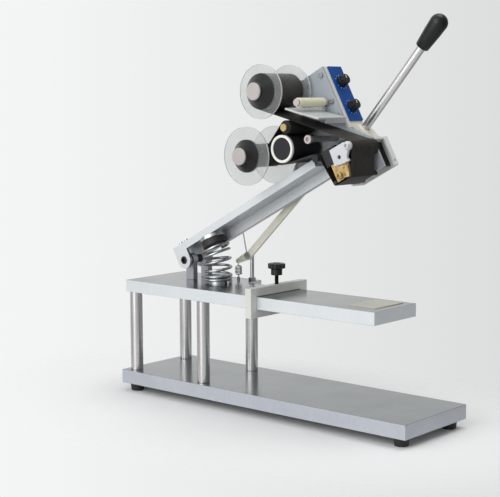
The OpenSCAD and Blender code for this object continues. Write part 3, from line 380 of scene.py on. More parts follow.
# Moulded rubber: nearly black and dull. The sandy skin from the mould is drawn at 0.7 mm, coarser
# than real.
foot_rubber = worked("moulded_black_rubber", "#202022", "#171718", 0.7, (0.55, 0.75), 0.02)
foot_h, foot_recess = 10.5, 7.5
foot_profile = [(0, 4.9), (0, 7.2), (0.4, 7.8), (1.2, 8.1), (9.0, 9.2), (10.0, 9.4), (foot_h, 9.1),
                (foot_h, 2.1), (foot_recess, 2.1), (foot_recess, 4.5), (0.5, 4.5)]
foot_spots = [(x, y) for x in (14, 426) for y in (14, 110)]
feet = set_out(foot_profile, [ground(x, y, 0) for x, y in foot_spots], foot_rubber, closed=True)
fit("rubber_feet_moulded", feet, foot_rubber, "base", "black_rubber", "rubber_feet")

# Posts: four steel bars, ground round, hard chromed and chamfered at both ends, that carry the bed.
# They are pressed into the base below and the bed above.
base_top = foot_h + 17
post_h, post_r = 102, 8


# The profile of a bar or, with a bore, of a tube, and its chamfer at the first and the last end.
def bar(near, far, r, first=0.0, last=0.0, bore=0.0):
    start = [(near, r - first), (near + first, r)] if first else [(near, r)]
    end = [(far - last, r), (far, r - last)] if last else [(far, r)]
    return [(near, bore)] + start + end + [(far, bore)]


# Ground bar: a bright upright streak between grey sides. Its tone wanders over some centimetres, far
# coarser than the real grinding marks, which only speckle when they are small.
ground_bar = worked("ground_steel_bar", "#cbcaca", "#bdbbbc", (200, 200, 60), (0.25, 0.28), patch=160.0,
                    metallic=1.0)
post_places = [ground(x, y, base_top) for x in (13.5, 131.5) for y in (14, 105)]
fit("posts_ground", set_out(bar(0, post_h, post_r, 0.5, 0.5), post_places, ground_bar), ground_bar,
    "base", "bright_steel", "posts")

# Bed: a wide aluminium plate with the printing table cut from the same piece.
# It is ground, plated and milled as the base is, and sits on the four posts.
bed_under = base_top + post_h
bed_top = bed_under + 15
bed = fit_node("bed_plate_finished", "bed_plate", 0.6, plate_face, "base", "aluminium_plate")
# The bed's milled edge: the base's milled finish, dull, with its upright cutter marks, again coarser than
# real.
# It is painted almost white as painted light, for the key lamp that falls more on the bed than on the base.
lit_milled_edge = worked("milled_bed_edge", "#dde1e4", "#d1d6d9", (0.6, 0.6, 9), (0.36, 0.5), 0.006, metallic=0.35)
second_finish(bed, lit_milled_edge, upright)


# Screws: black socket screws that hold the feet and the hinge bracket, from below.
# The tree makes one head with its hexagon socket and sets it on every point, turned to its way.
def screw_tree():
    tree, given = start_tree("socket_screws", ("Points", "Geometry"), ("Head width", "Float"),
                             ("Head height", "Float"), ("Socket width", "Float"))
    high = given["Head height"]
    half = maths(tree, "MULTIPLY", given["Head width"], 0.5)
    lift = maths(tree, "MULTIPLY", high, 0.5)
    head = add(tree, "GeometryNodeMeshCylinder", {"Vertices": 32, "Radius": half, "Depth": high})
    raised = add(tree, "GeometryNodeTransform", {
        "Geometry": head,
        "Translation": add(tree, "ShaderNodeCombineXYZ", {"Z": lift})})
    corner = maths(tree, "MULTIPLY", given["Socket width"], 0.57735)
    hexagon = add(tree, "GeometryNodeMeshCylinder", {"Vertices": 6, "Radius": corner, "Depth": high})
    sunk = add(tree, "GeometryNodeTransform", {
        "Geometry": hexagon,
        "Translation": add(tree, "ShaderNodeCombineXYZ", {"Z": high})})
    cut = add(tree, "GeometryNodeMeshBoolean", {0: raised, 1: sunk}, operation="DIFFERENCE")
    way = add(tree, "GeometryNodeInputNamedAttribute", {"Name": "way"}, data_type="FLOAT_VECTOR")
    turn = add(tree, "FunctionNodeAlignRotationToVector", {"Vector": way}, axis="Z")
    many = add(tree, "GeometryNodeInstanceOnPoints", {
        "Points": given["Points"], "Instance": cut, "Rotation": turn})
    return end_tree(tree, given, many)


screws_from_tree = screw_tree()


# A head is (width, height, width of its socket) in millimetres.
def screws(name, places, way, head, finish, body, slot, *nodes):
    start = points(places)
    ways = start.attributes.new("way", "FLOAT_VECTOR", "POINT")
    for row in ways.data:
        row.vector = way
    wide, high, socket = head
    mesh = grown(start, screws_from_tree, head_width=wide * MM, head_height=high * MM,
                 socket_width=socket * MM, finish=finish)
    mesh.set_sharp_from_angle(angle=math.radians(28))
    return fit(name, mesh, finish, body, slot, *nodes)


# Blackened steel: a brown-black oxide with a low oily sheen, clouded at 1.2 mm, coarser than real.
black_steel = worked("blackened_steel", "#3a3b3d", "#2a2b2c", 1.2, (0.32, 0.5), metallic=0.8)
pin_x, pin_z = 64.5, 170.3
DOWN = (0, 0, -1)
screws("foot_screws", [ground(x, y, foot_recess) for x, y in foot_spots], DOWN, (7, 3, 2.5), black_steel,
       "base", "dark_steel", "frame_screws")
bracket_head = (8.5, 5, 4)
screws("bracket_screws", [ground(pin_x, y, bed_under + bracket_head[1]) for y in (65, 92.8)], DOWN,
       bracket_head, black_steel, "base", "dark_steel")

# Print pad: a sheet of silicone rubber, cast in a mould.
# It is let into the table under the type.
# Cast silicone: a warm, pale and dull patch, faintly mottled.
pad_rubber = worked("cast_silicone_pad", "#bab9ae", "#afada0", 1.5, (0.5, 0.65), 0.02)
fit_node("print_pad_cast", "print_pad", 0.3, pad_rubber, "base", "pad_rubber")

# Hinge bracket and pin: two milled aluminium ears screwed up from under the bed, and a blackened pin.
# The pin has a hexagon key's bore in its near end, and a spacer ring between the arm and the first ear.
# Milled aluminium: a cool grey sheen. Its upright cutter marks are drawn at 0.5 mm, coarser than real.
milled = worked("milled_aluminium", "#c6c9cc", "#b7babe", (0.5, 0.5, 14), (0.26, 0.4), 0.004, metallic=0.85)
fit_node("hinge_ears", "hinge_bracket", 0.4, milled, "base", "aluminium_plate")
pin_near, pin_far, pin_r = 49.4, 99.8, 5
ring_near, ring_far, ring_r = 55, 61, 7
pin_profile = [(52.4, 0), (52.4, 2.5), (pin_near, 2.5), (pin_near, 4.4), (50, pin_r), (ring_near, pin_r),
               (ring_near, ring_r - 0.3), (ring_near + 0.3, ring_r), (ring_far - 0.3, ring_r),
               (ring_far, ring_r - 0.3), (ring_far, pin_r), (99, pin_r), (pin_far, 4.3), (pin_far, 0)]
FAR = (0, 1, 0)
fit("hinge_pin_turned", turned(ground(pin_x, 0, pin_z), FAR, pin_profile), black_steel,
    "base", "dark_steel", "hinge_pin")


# Lift spring: round steel wire, wound cold, closed at its foot and leaning with the arm at its top.
# It stands over a plated boss on the bed, and the tree draws the wire along a path of points.
def strand_tree():
    tree, given = start_tree("round_strand", ("Path", "Geometry"), ("Thickness", "Float"))
    line = add(tree, "GeometryNodeMeshToCurve", {"Mesh": given["Path"]})
    half = maths(tree, "MULTIPLY", given["Thickness"], 0.5)
    ring = add(tree, "GeometryNodeCurvePrimitiveCircle", {"Resolution": 14, "Radius": half})
    body = add(tree, "GeometryNodeCurveToMesh", {"Curve": line, "Profile Curve": ring, "Fill Caps": True})
    return end_tree(tree, given, body)


strand_from_tree = strand_tree()


def strand(places, thickness, finish, closed=False):
    start = bpy.data.meshes.new("path")
    count = len(places)
    edges = [(i, i + 1) for i in range(count - 1)] + ([(count - 1, 0)] if closed else [])
    start.from_pydata([tuple(p) for p in places], edges, [])
    form = bmesh.new()
    form.from_mesh(grown(start, strand_from_tree, thickness=thickness * MM, finish=finish))
    bmesh.ops.recalc_face_normals(form, faces=form.faces)
    return smooth(form, 50)


# A spring takes its finish in place of its node, with its placing applied to its mesh, and is fixed to no
# body.
def fit_spring(name, mesh, material, node):
    made = coated(name, mesh, material)
    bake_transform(made)
    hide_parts(node)


SLOPE = math.radians(28)
seat_along, spring_y = 49, 62
spring_x = pin_x + seat_along
lift_wire, lift_d, lift_turns = 3.4, 36, 6.3
lift_low = bed_top + lift_wire / 2
lift_under_arm = 4.4


def lift_coil(turn):
    low_turns, high_turns, end_pitch = 2.2, 1.0, 4.0
    high = pin_z + seat_along * math.sin(SLOPE) - lift_under_arm * math.cos(SLOPE)
    shift = pin_x + seat_along * math.cos(SLOPE) + lift_under_arm * math.sin(SLOPE) - spring_x
    rise, end_turns = high - lift_low, low_turns + high_turns
    pitch = (rise - end_turns * end_pitch) / (lift_turns - end_turns)
    closed = min(turn, low_turns) + max(turn - lift_turns + high_turns, 0)
    share = (closed * end_pitch + (turn - closed) * pitch) / rise
    lean, r, a = SLOPE * share * share, (lift_d - lift_wire) / 2, math.tau * turn
    return ground(spring_x + shift * share ** 3 + r * math.cos(a) * math.cos(lean),
                  spring_y + r * math.sin(a),
                  lift_low + rise * share + r * math.cos(a) * math.sin(lean))


# Drawn spring wire: a bright grey line with dark flanks, a little uneven along its length.
spring_wire = worked("drawn_spring_wire", "#b9bcbe", "#8d9092", 0.4, (0.16, 0.3), metallic=1.0)
lift_steps = 40
lift_path = [lift_coil(i / lift_steps) for i in range(int(lift_turns * lift_steps) + 1)]
fit_spring("lift_spring_wound", strand(lift_path, lift_wire, spring_wire), spring_wire,
           "lift_spring")
# Zinc plated steel: a bright bluish grey, a little cloudy.
plated = worked("zinc_plated_steel", "#bfc1c2", "#a6a9aa", 1.0, (0.22, 0.36), metallic=1.0)
boss_h, boss_r = 10, 12.6
boss_at = ground(spring_x, spring_y, bed_top)
fit("spring_boss", turned(boss_at, UPWARD, bar(0, boss_h, boss_r, last=0.8)), plated,
    "base", "plated_steel", "spring_stud")

# Feed anchor: a thin plated steel post screwed into the bed.
# It has a cross pin for the feed rod, a stay wire and a peg for the feed spring.
fit_node("anchor_post_finished", "anchor_post", 0.25, plated, "base", "dark_steel")

# Feed spring: a small tension spring of the same drawn wire, wound cold.
# It is hooked between its peg and the rod's tail, which it pulls down.
tail_x, tail_y = 116, 97.5
tail_wire, tail_d, tail_turns = 1.3, 9.6, 7
tail_low, tail_rise = 150.5, 13.2


def tail_coil(turn):
    r = (tail_d - tail_wire) / 2 * min(1, turn, tail_turns - turn)
    a = math.tau * turn
    height = tail_low + tail_rise * turn / tail_turns
    return ground(tail_x + r * math.cos(a), tail_y + r * math.sin(a), height)


tail_steps = 32
tail_path = [ground(tail_x, tail_y, 148.5)]
tail_path += [tail_coil(i / tail_steps) for i in range(tail_turns * tail_steps + 1)]
tail_path += [ground(tail_x, tail_y, 165.7)]
fit_spring("feed_spring_wound", strand(tail_path, tail_wire, spring_wire), spring_wire,
           "feed_spring")

# Table stop: a frame milled from aluminium and bead blasted, that goes round the table.
# It slides along the table, sets how far the goods go in, and is held by the clamp screw.
# Bead blasted alloy: an even, warm, pale grey without gloss, dimpled at 0.6 mm, coarser than real.
stop_metal = worked("bead_blasted_stop", "#d5d7d3", "#c9cbc7", 0.6, (0.42, 0.56), 0.008)
fit_node("table_stop_finished", "table_stop", 0.6, stop_metal, "stop", "aluminium_plate")

# Clamp screw and knob: a blackened steel screw with a cut thread, which runs in the stop's top.
# A moulded plastic knob with twelve flutes is pressed on its head.
clamp_at = ground(222.1, 46.65, 0)
thread_low, thread_pitch, thread_turns, thread_top = 145.0, 0.8, 30, 169.9
thread = [(thread_low - 0.3, 0), (thread_low - 0.3, 1.9)]
for i in range(thread_turns):
    root = thread_low + thread_pitch * i
    thread += [(root, 2.05), (root + thread_pitch / 2, 2.5)]
thread += [(thread_top - 0.5, 2.4), (thread_top, 2.0), (thread_top, 0)]
fit("clamp_screw_threaded", turned(clamp_at, UPWARD, thread, count=40), black_steel,
    "clamp", "dark_steel", "clamp_screw")
# Moulded black plastic: dark, with soft highlights. The spark-eroded skin that breaks them up is drawn
# at 0.5 mm, coarser than real.
black_moulding = worked("moulded_black_plastic", "#1d1d1f", "#151516", 0.5, (0.26, 0.4), 0.01,
                        specular_ior_level=0.35)
knob_low, knob_top, knob_r, neck_r = 165.9, 179.9, 10.5, 6.8
knob_profile = [(171.5, 0), (171.5, 2.5), (knob_low, 2.5), (knob_low, neck_r - 0.4),
                (knob_low + 0.4, neck_r), (172.5, neck_r), (173.4, 7.4), (173.9, 9.8), (174.4, knob_r),
                (knob_top - 1, knob_r), (knob_top - 0.3, 10.0), (knob_top, 9.0), (knob_top, 4.4),
                (knob_top - 0.5, 4.0), (knob_top - 0.5, 0)]
knob = turned(clamp_at, UPWARD, knob_profile, count=144, flutes=(12, 1.0, 173.5, 179.7))
fit("clamp_knob_moulded", knob, black_moulding, "clamp", "black_plastic", "clamp_knob")


# Arm: an extruded aluminium bar with a flange along its far side and a lug at each side of the pin.
# It is cut to length, its near edge is milled and painted pale as painted light, and plated screws hold the
# side plate and the box.
# A place on the arm is along it from the hinge pin, across the machine, and up from the pin.
def on_arm(along, y, up):
    return ground(pin_x + along * math.cos(SLOPE) - up * math.sin(SLOPE), y,
                  pin_z + along * math.sin(SLOPE) + up * math.cos(SLOPE))


# Extruded aluminium: a satin grey. The long die lines are drawn at 0.7 mm, coarser than real.
arm_metal = worked("extruded_aluminium", "#c3c6c9", "#b2b5b9", (90, 0.7, 0.7), (0.24, 0.38), 0.003, turn=-28,
                   metallic=0.9)
arm = fit_node("arm_bar_finished", "arm_bar", 0.5, arm_metal, "arm", "aluminium_plate")
# Its faces toward the front take the bed's pale edge: painted light, the side facing the key lamp painted
# paler.
second_finish(arm, lit_milled_edge, lambda normal: normal.y < -0.6)
UP = Vector((-math.sin(SLOPE), 0, math.cos(SLOPE)))
side_near = 79.2
screws("arm_screws", [on_arm(s, 85.4, 23.9) for s in (206, 222)], UP, (6.1, 3, 3), plated,
       "arm", "plated_steel", "head_screws")
screws("lug_screws", [on_arm(s, 54.6, 20.9) for s in (2, 12)], UP, (5, 2.5, 2.5), plated,
       "arm", "plated_steel")
screws("box_screws", [on_arm(284.5, side_near, n) for n in (59, 77.5, 112)], (0, -1, 0), (6.5, 2, 3), plated,
       "arm", "plated_steel")

# Spring seat: a disc turned from bar and plated, screwed under the arm.
# A moulded rubber bumper is pressed into it and rests on the spring.
seat_at = on_arm(seat_along, spring_y, 0)
seat_low, seat_high, seat_r = 6.7, 11.7, 16
fit("spring_seat", turned(seat_at, UP, bar(seat_low, seat_high, seat_r, 0.5, 0.5)), plated,
    "arm", "plated_steel", "spring_cup")
bumper_low = -2.3
bumper_profile = [(bumper_low, 0), (bumper_low, 14.3), (bumper_low + 1.1, 15.4), (seat_low - 1.1, 15.5),
                  (seat_low, 14.9), (seat_low, 0)]
fit("rubber_bumper_moulded", turned(seat_at, UP, bumper_profile), foot_rubber,
    "arm", "black_rubber", "rubber_bumper")

# Side plate: steel sheet, cut to shape and powder coated, screwed to the arm by its foot.
# It carries the reels, the rollers and the control box.
# Powder coat: a pale blue grey with a fine orange peel, neither matt nor glossy.
grey_coat = worked("pale_grey_powder_coat", "#a5acb3", "#9aa2a9", 1.1, (0.36, 0.5), 0.015)
fit_node("side_plate_coated", "side_plate", 0.3, grey_coat, "arm", "grey_paint")

# Control box: steel sheet, folded and enamelled in cream, held to the side plate by three screws.
# It has a blue front panel, two potentiometers behind it and a moulded cord gland at its back.
# Stoved enamel: warm cream with a soft gloss and a slight waviness.
cream_coat = worked("stoved_cream_enamel", "#e0ded2", "#d4d1c3", 2.5, (0.3, 0.42), 0.006)
fit_node("control_box_enamelled", "control_box", 0.5, cream_coat, "arm", "cream_paint")
# Stoved blue enamel: deep and even. The sheet's faint rolling lines are drawn coarser than real.
blue_coat = worked("stoved_blue_enamel", "#0d4b99", "#0a3f86", (0.4, 30, 0.4), (0.34, 0.48), 0.003,
                   turn=-28, specular_ior_level=0.2)
fit_node("front_panel_blue", "front_panel", 0.3, blue_coat, "arm", "blue_paint")
fit_node("potentiometers_fitted", "potentiometers", 0.3, plated, "arm", "plated_steel")
fit_node("cord_gland_moulded", "cord_gland", 0.3, black_moulding, "arm", "black_plastic")

# Dials: two knobs moulded in black plastic, with twelve flutes, a skirt and a printed pointer line.
# They are pushed onto the potentiometers' shafts.
ALONG = Vector((math.cos(SLOPE), 0, math.sin(SLOPE)))
dial_along, dial_y = 293.7, 100.6
dial_ups = {"upper": 98.5, "lower": 65.5}
# Screen print: a flat, dry white.
white_print = worked("white_screen_print", "#f0f0ea", "#e6e6df", 0.3, (0.5, 0.6))
dial_l, skirt_r = 8.5, 7.25
dial_profile = [(-0.1, 0), (-0.1, skirt_r - 0.25), (0.3, skirt_r), (2.0, skirt_r), (2.5, 6.9), (2.6, 6.25),
                (7.8, 6.1), (dial_l, 5.5), (dial_l, 4.2), (dial_l - 0.2, 4.0), (dial_l - 0.2, 0)]
pointer_deep, pointer_wide, pointer_long, pointer_up = 0.16, 0.9, 4.6, 2.7


def dial(name, body, node, up):
    at = on_arm(dial_along, dial_y, up)
    knob = turned(at, ALONG, dial_profile, count=144, flutes=(12, 0.7, 2.55, 8.0))
    fit(name, knob, black_moulding, body, "black_plastic", node)
    form = bmesh.new()
    bmesh.ops.create_cube(form, size=1.0)
    for v in form.verts:
        deep = dial_l - pointer_deep / 2 + pointer_deep * v.co.x
        wide, high = pointer_wide * v.co.y, pointer_up + pointer_long * v.co.z
        v.co = at + (ALONG * deep + Vector((0, wide, 0)) + UP * high) * MM
    fit(name + "_pointer", smooth(form), white_print, body, "pale_plastic")


dial("upper_dial_moulded", "dial_high", "upper_dial", dial_ups["upper"])
dial("lower_dial_moulded", "dial_low", "lower_dial", dial_ups["lower"])


# Dial marks: a ring of short white strokes, screen printed on the panel round each dial.
# The tree sets the strokes out along an arc that is open at the bottom.
def marks_tree():
    tree, given = start_tree("dial_marks", ("Panel", "Geometry"), ("Count", "Int"),
                             ("Ring radius", "Float"), ("Stroke length", "Float"),
                             ("Stroke width", "Float"), ("Place", "Vector"), ("Tilt", "Float"))
    arc = add(tree, "GeometryNodeCurveArc", {
        "Resolution": 96, "Radius": given["Ring radius"], "Start Angle": math.radians(-60),
        "Sweep Angle": math.radians(300)})
    spots = add(tree, "GeometryNodeCurveToPoints", {"Curve": arc, "Count": given["Count"]}, mode="COUNT")
    size = add(tree, "ShaderNodeCombineXYZ", {
        "X": given["Stroke length"], "Y": 0.12 * MM, "Z": given["Stroke width"]})
    stroke = add(tree, "GeometryNodeMeshCube", {"Size": size})
    many = add(tree, "GeometryNodeInstanceOnPoints", {
        "Points": spots, "Instance": stroke,
        "Rotation": spots.outputs["Rotation"]})
    turn = add(tree, "ShaderNodeCombineXYZ", {"Y": given["Tilt"]})
    put = add(tree, "GeometryNodeTransform", {
        "Geometry": many, "Translation": given["Place"], "Rotation": turn})
    return end_tree(tree, given, put)


marks_from_tree = marks_tree()
panel_along = 292.54
for which, up in dial_ups.items():
    name = which + "_dial_marks"
    marks = grown(points([(0, 0, 0)]), marks_from_tree, count=11, ring_radius=8.9 * MM,
                  stroke_length=1.3 * MM, stroke_width=0.5 * MM, place=on_arm(panel_along, dial_y, up),
                  tilt=math.pi / 2 - SLOPE, finish=white_print)
    fit(name, marks, white_print, "arm", "pale_plastic")

# Head: a folded aluminium frame, bead blasted, with a dark steel cover plate screwed over it.
# It holds a blackened aluminium heater block with a heating cartridge in its bore.
# Bead blasted sheet: an even grey without gloss, dimpled at 0.7 mm, coarser than real. It is painted almost
# white as painted light, making up for the shade on the frame's side faces.
lit_blasted_sheet = worked("bead_blasted_sheet", "#e2e4e3", "#d8dad9", 0.7, (0.4, 0.55), 0.006)
fit_node("head_frame_folded", "head_frame", 0.3, lit_blasted_sheet, "arm", "aluminium_plate")
fit_node("head_cover_plate", "head_cover", 0.3, black_steel, "arm", "dark_steel")
fit_node("heater_block_blackened", "heater_block", 0.4, black_steel, "arm", "aluminium_plate")
fit_node("heater_cartridge_fitted", "heater_cartridge", 0.3, plated, "arm", "plated_steel")

# Type holder: a machined brass block that grips the type, fixed under the heater block.
# A pale clamp plate, with a hole for its lock screw, closes it.
# Machined brass: warm gold that heat has browned in patches.
brass = worked("machined_brass", "#d3b880", "#77603a", 3.0, (0.22, 0.42), 0.02, patch=9.0, metallic=0.9)
fit_node("type_holder_brass", "type_holder", 0.3, brass, "arm", "type_brass")
# Bead blasted plate: a pale, dry metal grey, dimpled at 0.6 mm, coarser than real.
pale_plate = worked("bead_blasted_plate", "#cdd0d3", "#bdc1c5", 0.6, (0.4, 0.55), 0.012, metallic=0.3)
fit_node("type_clamp_plate", "type_clamp", 0.35, pale_plate, "arm", "aluminium_plate")


# Film guides: a thick front bar, two thin rods under the type and a rear bar, turned from steel.
# They are blackened and fixed in the side plate by one end.
# A round piece of the film's path is (along the arm, up from the pin, radius).
def joined(meshes):
    form = bmesh.new()
    for mesh in meshes:
        form.from_mesh(mesh)
    return smooth(form)


front_bar, rear_bar = (311.5, 4.5, 9.5), (269.5, 12.5, 4.5)
front_rod, rear_rod = (302.3, -24.5, 2.5), (282.7, -24.5, 2.5)
roller_near, roller_far = 25, 72
guides = [turned(on_arm(s, 0, n), FAR, bar(roller_near, side_near, r, 0.4))
          for s, n, r in (front_bar, front_rod, rear_rod, rear_bar)]
fit("film_guides_turned", joined(guides), black_steel, "arm", "dark_steel", "film_guides")

# Film posts, tray and bushes: the sleeve's stud and a plain post with a ring, nickel plated.
# A bent aluminium tray lies under the sleeve, and moulded bushes carry the shafts in the side plate.
# Old nickel plate: a rosy grey, half bright, with marks along the post.
rosy_steel = worked("nickel_plated_post", "#c4b9b9", "#b0a5a6", (0.8, 8, 0.8), (0.3, 0.42), metallic=0.4)
fit_node("film_posts_plated", "film_posts", 0.25, rosy_steel, "arm", "bright_steel")
# Bent sheet: a plain grey with a dull shine. Its rolled grain is drawn at 0.7 mm, coarser than real.
sheet_metal = worked("bent_aluminium_sheet", "#c6c8c8", "#b8bbbb", (0.7, 0.7, 12), (0.36, 0.5), 0.003,
                     metallic=0.25)
fit_node("film_tray_bent", "film_tray", 0.25, sheet_metal, "arm", "aluminium_plate")
fit_node("shaft_bushes_moulded", "shaft_bushes", 0.25, black_moulding, "arm", "black_plastic")

# Supply shaft and pinch axle: the two shafts that stand still, fixed in the side plate.
# One is of ground steel, and the other is turned from brass with two shoulders.
# Bars are joined on one axis, end to end.
def stepped(*bars):
    return bars[0][:1] + [place for one in bars for place in one[1:-1]] + bars[-1][-1:]


supply_roll, pinch_roller = (237, 115.7, 21.3), (247.529, 63.369, 7.5)
shaft_r, plate_back = 4, 82.2
supply_at = on_arm(supply_roll[0], 0, supply_roll[1])
fit("supply_shaft_ground", turned(supply_at, FAR, bar(9.5, plate_back + 2, shaft_r)), ground_bar,
    "arm", "bright_steel", "supply_shaft")
pinch_at = on_arm(pinch_roller[0], 0, pinch_roller[1])
axle_near, axle_r, shoulder_r = 21, 3, 4.5
axle_profile = stepped(
    bar(axle_near, roller_near - 0.4, shoulder_r, 0.4), bar(roller_near - 0.4, roller_far + 0.4, axle_r),
    bar(roller_far + 0.4, side_near, shoulder_r), bar(side_near, plate_back, axle_r))
# Turned brass: pale gold with a bright end.
pale_brass = worked("turned_pale_brass", "#cdb988", "#a8925f", (1.0, 8, 1.0), (0.22, 0.36), metallic=0.85)
fit("pinch_axle_brass", turned(pinch_at, FAR, axle_profile), pale_brass, "arm", "type_brass", "pinch_axle")


# Film: hot stamping foil, a coated plastic ribbon, from the supply roll round the head to the take-up roll.
# It is threaded over each round piece in turn, bending left or right.
# A station is (along, up, radius, hand), and a heading is the way of the run between two of them.
def heading(a, b):
    run = (b[0] - a[0], b[1] - a[1])
    return math.atan2(run[1], run[0]) - math.asin((b[3] * b[2] - a[3] * a[2]) / math.hypot(*run))


def band_path(stations, closed=False):
    count = len(stations)
    pairs = [(i, (i + 1) % count) for i in range(count if closed else count - 1)]
    runs = [heading(stations[i], stations[j]) for i, j in pairs]
    places = []
    for i, (s, n, r, hand) in enumerate(stations):
        start = runs[i - 1] if closed or i else runs[0]
        end = runs[i] if i < len(runs) else runs[-1]
        sweep = (hand * (end - start)) % math.tau
        sweep = 0.0 if sweep > math.tau - 1e-6 else sweep
        steps = max(1, math.ceil(sweep / math.radians(5)))
        for k in range(steps + 1 if sweep > 1e-9 else 1):
            h = start + hand * sweep * k / steps - math.pi / 2
            places.append((s + hand * r * math.cos(h), n + hand * r * math.sin(h)))
    return places


drive_roller, takeup_roll = (233, 43, 16.5), (181.4, 59.5, 14)
film_lift, film_near, film_w, film_t = 0.5, 26, 44, 0.3
film_turns = ((supply_roll, 1), (front_bar, -1), (front_rod, -1), (rear_rod, -1), (rear_bar, 1),
              (drive_roller, -1), (pinch_roller, 1), (takeup_roll, -1))
film_line = band_path([(s, n, r + film_lift, hand) for (s, n, r), hand in film_turns])


def film_band(near, far, thick):
    form = bmesh.new()
    rows = []
    for i, (s, n) in enumerate(film_line):
        a, b = film_line[max(i - 1, 0)], film_line[min(i + 1, len(film_line) - 1)]
        run = Vector((b[0] - a[0], b[1] - a[1])).normalized()
        side = Vector((-run.y, run.x)) * thick / 2
        rows.append([form.verts.new(on_arm(s + k * side.x, y, n + k * side.y)) for k, y in
                     ((1, near), (1, far), (-1, far), (-1, near))])
    for a, b in zip(rows, rows[1:]):
        for i in range(4):
            j = (i + 1) % 4
            form.faces.new((a[i], a[j], b[j], b[i]))
    form.faces.new(rows[0])
    form.faces.new(reversed(rows[-1]))
    bmesh.ops.recalc_face_normals(form, faces=form.faces)
    return smooth(form)


# Coated foil: brown-black and half matt, with long shallow wrinkles along the web.
foil = worked("black_stamping_foil", "#383632", "#2c2a27", (14, 3, 14), (0.46, 0.6), 0.05, patch=20.0,
              specular_ior_level=0.1)
fit("film_web_foil", film_band(film_near, film_near + film_w, film_t), foil, "arm", "foil", "film_web")

# Drive belt: a round belt of extruded green polyurethane, welded into a ring.
# It runs over the two pulleys behind the side plate.
# Extruded polyurethane: a clear mid green with a waxy sheen.
belt_rubber = worked("extruded_green_polyurethane", "#2f9d48", "#23853b", 1.0, (0.35, 0.5))
belt_d, belt_y = 3.2, 87
takeup_belt_r, drive_belt_r = 11.879, 14
pulleys = [(*takeup_roll[:2], takeup_belt_r, 1), (*drive_roller[:2], drive_belt_r, 1)]
belt_line = band_path(pulleys, closed=True)
belt = strand([on_arm(s, belt_y, n) for s, n in belt_line], belt_d, belt_rubber, closed=True)
fit("drive_belt_round", belt, belt_rubber, "arm", "belt_rubber", "drive_belt")

# Handle: a chromed steel rod, screwed into a cream block on the side plate.
# A moulded vinyl grip, which swells to its round end, is pushed on the rod.
fit_node("handle_block_enamelled", "handle_block", 0.6, cream_coat, "arm", "cream_paint")
handle_at, handle_turn = on_arm(300, 97, 33.1), SLOPE + math.radians(21.8)
HANDLE = Vector((math.cos(handle_turn), 0, math.sin(handle_turn)))
rod_r, rod_end = 5, 150
# Polished chrome: a bright side and a grey side that run the length of the rod.
rod_metal = worked("polished_chromed_rod", "#d3d1d1", "#c8c6c7", (200, 200, 300), (0.21, 0.23), patch=160.0,
                   turn=40.2, metallic=1.0)
fit("handle_rod_chromed", turned(handle_at, HANDLE, bar(-4, rod_end, rod_r, last=0.5)), rod_metal,
    "arm", "bright_steel", "handle_rod")
# Moulded vinyl: black with long soft highlights. Its skin is drawn at 0.8 mm, coarser than real.
grip_vinyl = worked("moulded_vinyl_grip", "#101012", "#0a0a0b", 0.8, (0.26, 0.38), 0.012,
                    specular_ior_level=0.35)
grip_start, grip_end, grip_r, grip_bore = 120, 164, 10.4, rod_r + 0.01
grip_profile = [(rod_end, 0), (rod_end, grip_bore), (grip_start, grip_bore), (grip_start, 7.2),
                (grip_start + 0.3, 7.6), (grip_start + 1, 8.0), (130, 8.8), (142, 9.8)]
dome_steps = 14
for i in range(dome_steps):
    a = math.pi / 2 * i / dome_steps
    grip_profile.append((grip_end - grip_r + grip_r * math.sin(a), grip_r * math.cos(a)))
grip_profile.append((grip_end, 0))
fit("handle_grip_moulded", turned(handle_at, HANDLE, grip_profile, count=96), grip_vinyl,
    "arm", "black_plastic", "handle_grip")

# Supply reel: a roll of foil between two clear acrylic discs, with a moulded cone and a spun cap.
# They turn together on the supply shaft.
reel_near, reel_far, disc_t = 22.5, 73.5, 2
supply_bore = shaft_r + 0.05
wound_lines, line_step = 12, 0.95
roll_r = supply_roll[2]
roll_profile = [(reel_near, supply_bore), (reel_near, 9.5)]
for i in range(wound_lines):
    start = 9.7 + i * line_step
    roll_profile += [(reel_near, start), (reel_near + 0.15, start + 0.4), (reel_near, start + 0.8)]
roll_profile += [(reel_near, roll_r - 0.1), (reel_near + 0.1, roll_r), (reel_far - 0.1, roll_r),
                 (reel_far, roll_r - 0.1), (reel_far, supply_bore)]
# Wound foil: the lacquered side out, a satin brown-black, painted paler than the web's foil as a painted
# sheen for the highlight along the roll.
# The lines of its turns, on its end and round it, are drawn far coarser than real.
foil_roll_painted_sheen = worked("wound_foil_roll", "#43413c", "#35332f", (30, 0.6, 30), (0.3, 0.42), 0.01, patch=30.0,
                    specular_ior_level=0.3)
roll = turned(supply_at, FAR, roll_profile, count=96, closed=True)
fit("supply_roll_wound", roll, foil_roll_painted_sheen, "supply_reel", "foil", "supply_roll")
# Cast acrylic: clear, with a faint grey veil of fine scratches where it crosses something dark.
acrylic = worked("clear_cast_acrylic", "#eff0f0", "#e6e8e8", (0.5, 3.0, 7.0), (0.03, 0.12), patch=18.0,
                 ior=1.49, transmission_weight=0.9)
# A sawn edge: the same acrylic, frosted by the saw, so that the rim shows as a pale line.
acrylic_edge = worked("sawn_acrylic_edge", "#eef0f0", "#e2e5e5", 0.5, (0.3, 0.5), ior=1.49,
                      transmission_weight=0.4)


def reel_discs(at, radius, bore):
    rims = [bar(y, y + disc_t, radius, 0.4, 0.4, bore) for y in (reel_near - disc_t, reel_far)]
    return joined([turned(at, FAR, rim, count=128, closed=True) for rim in rims])


def at_the_rim(normal):
    return abs(normal.y) < 0.8


supply_discs = fit("supply_discs_clear", reel_discs(supply_at, 32, supply_bore), acrylic,
                   "supply_reel", "clear_plastic", "supply_discs")
second_finish(supply_discs, acrylic_edge, at_the_rim)
hub_near, hub_far = 9, reel_near - disc_t


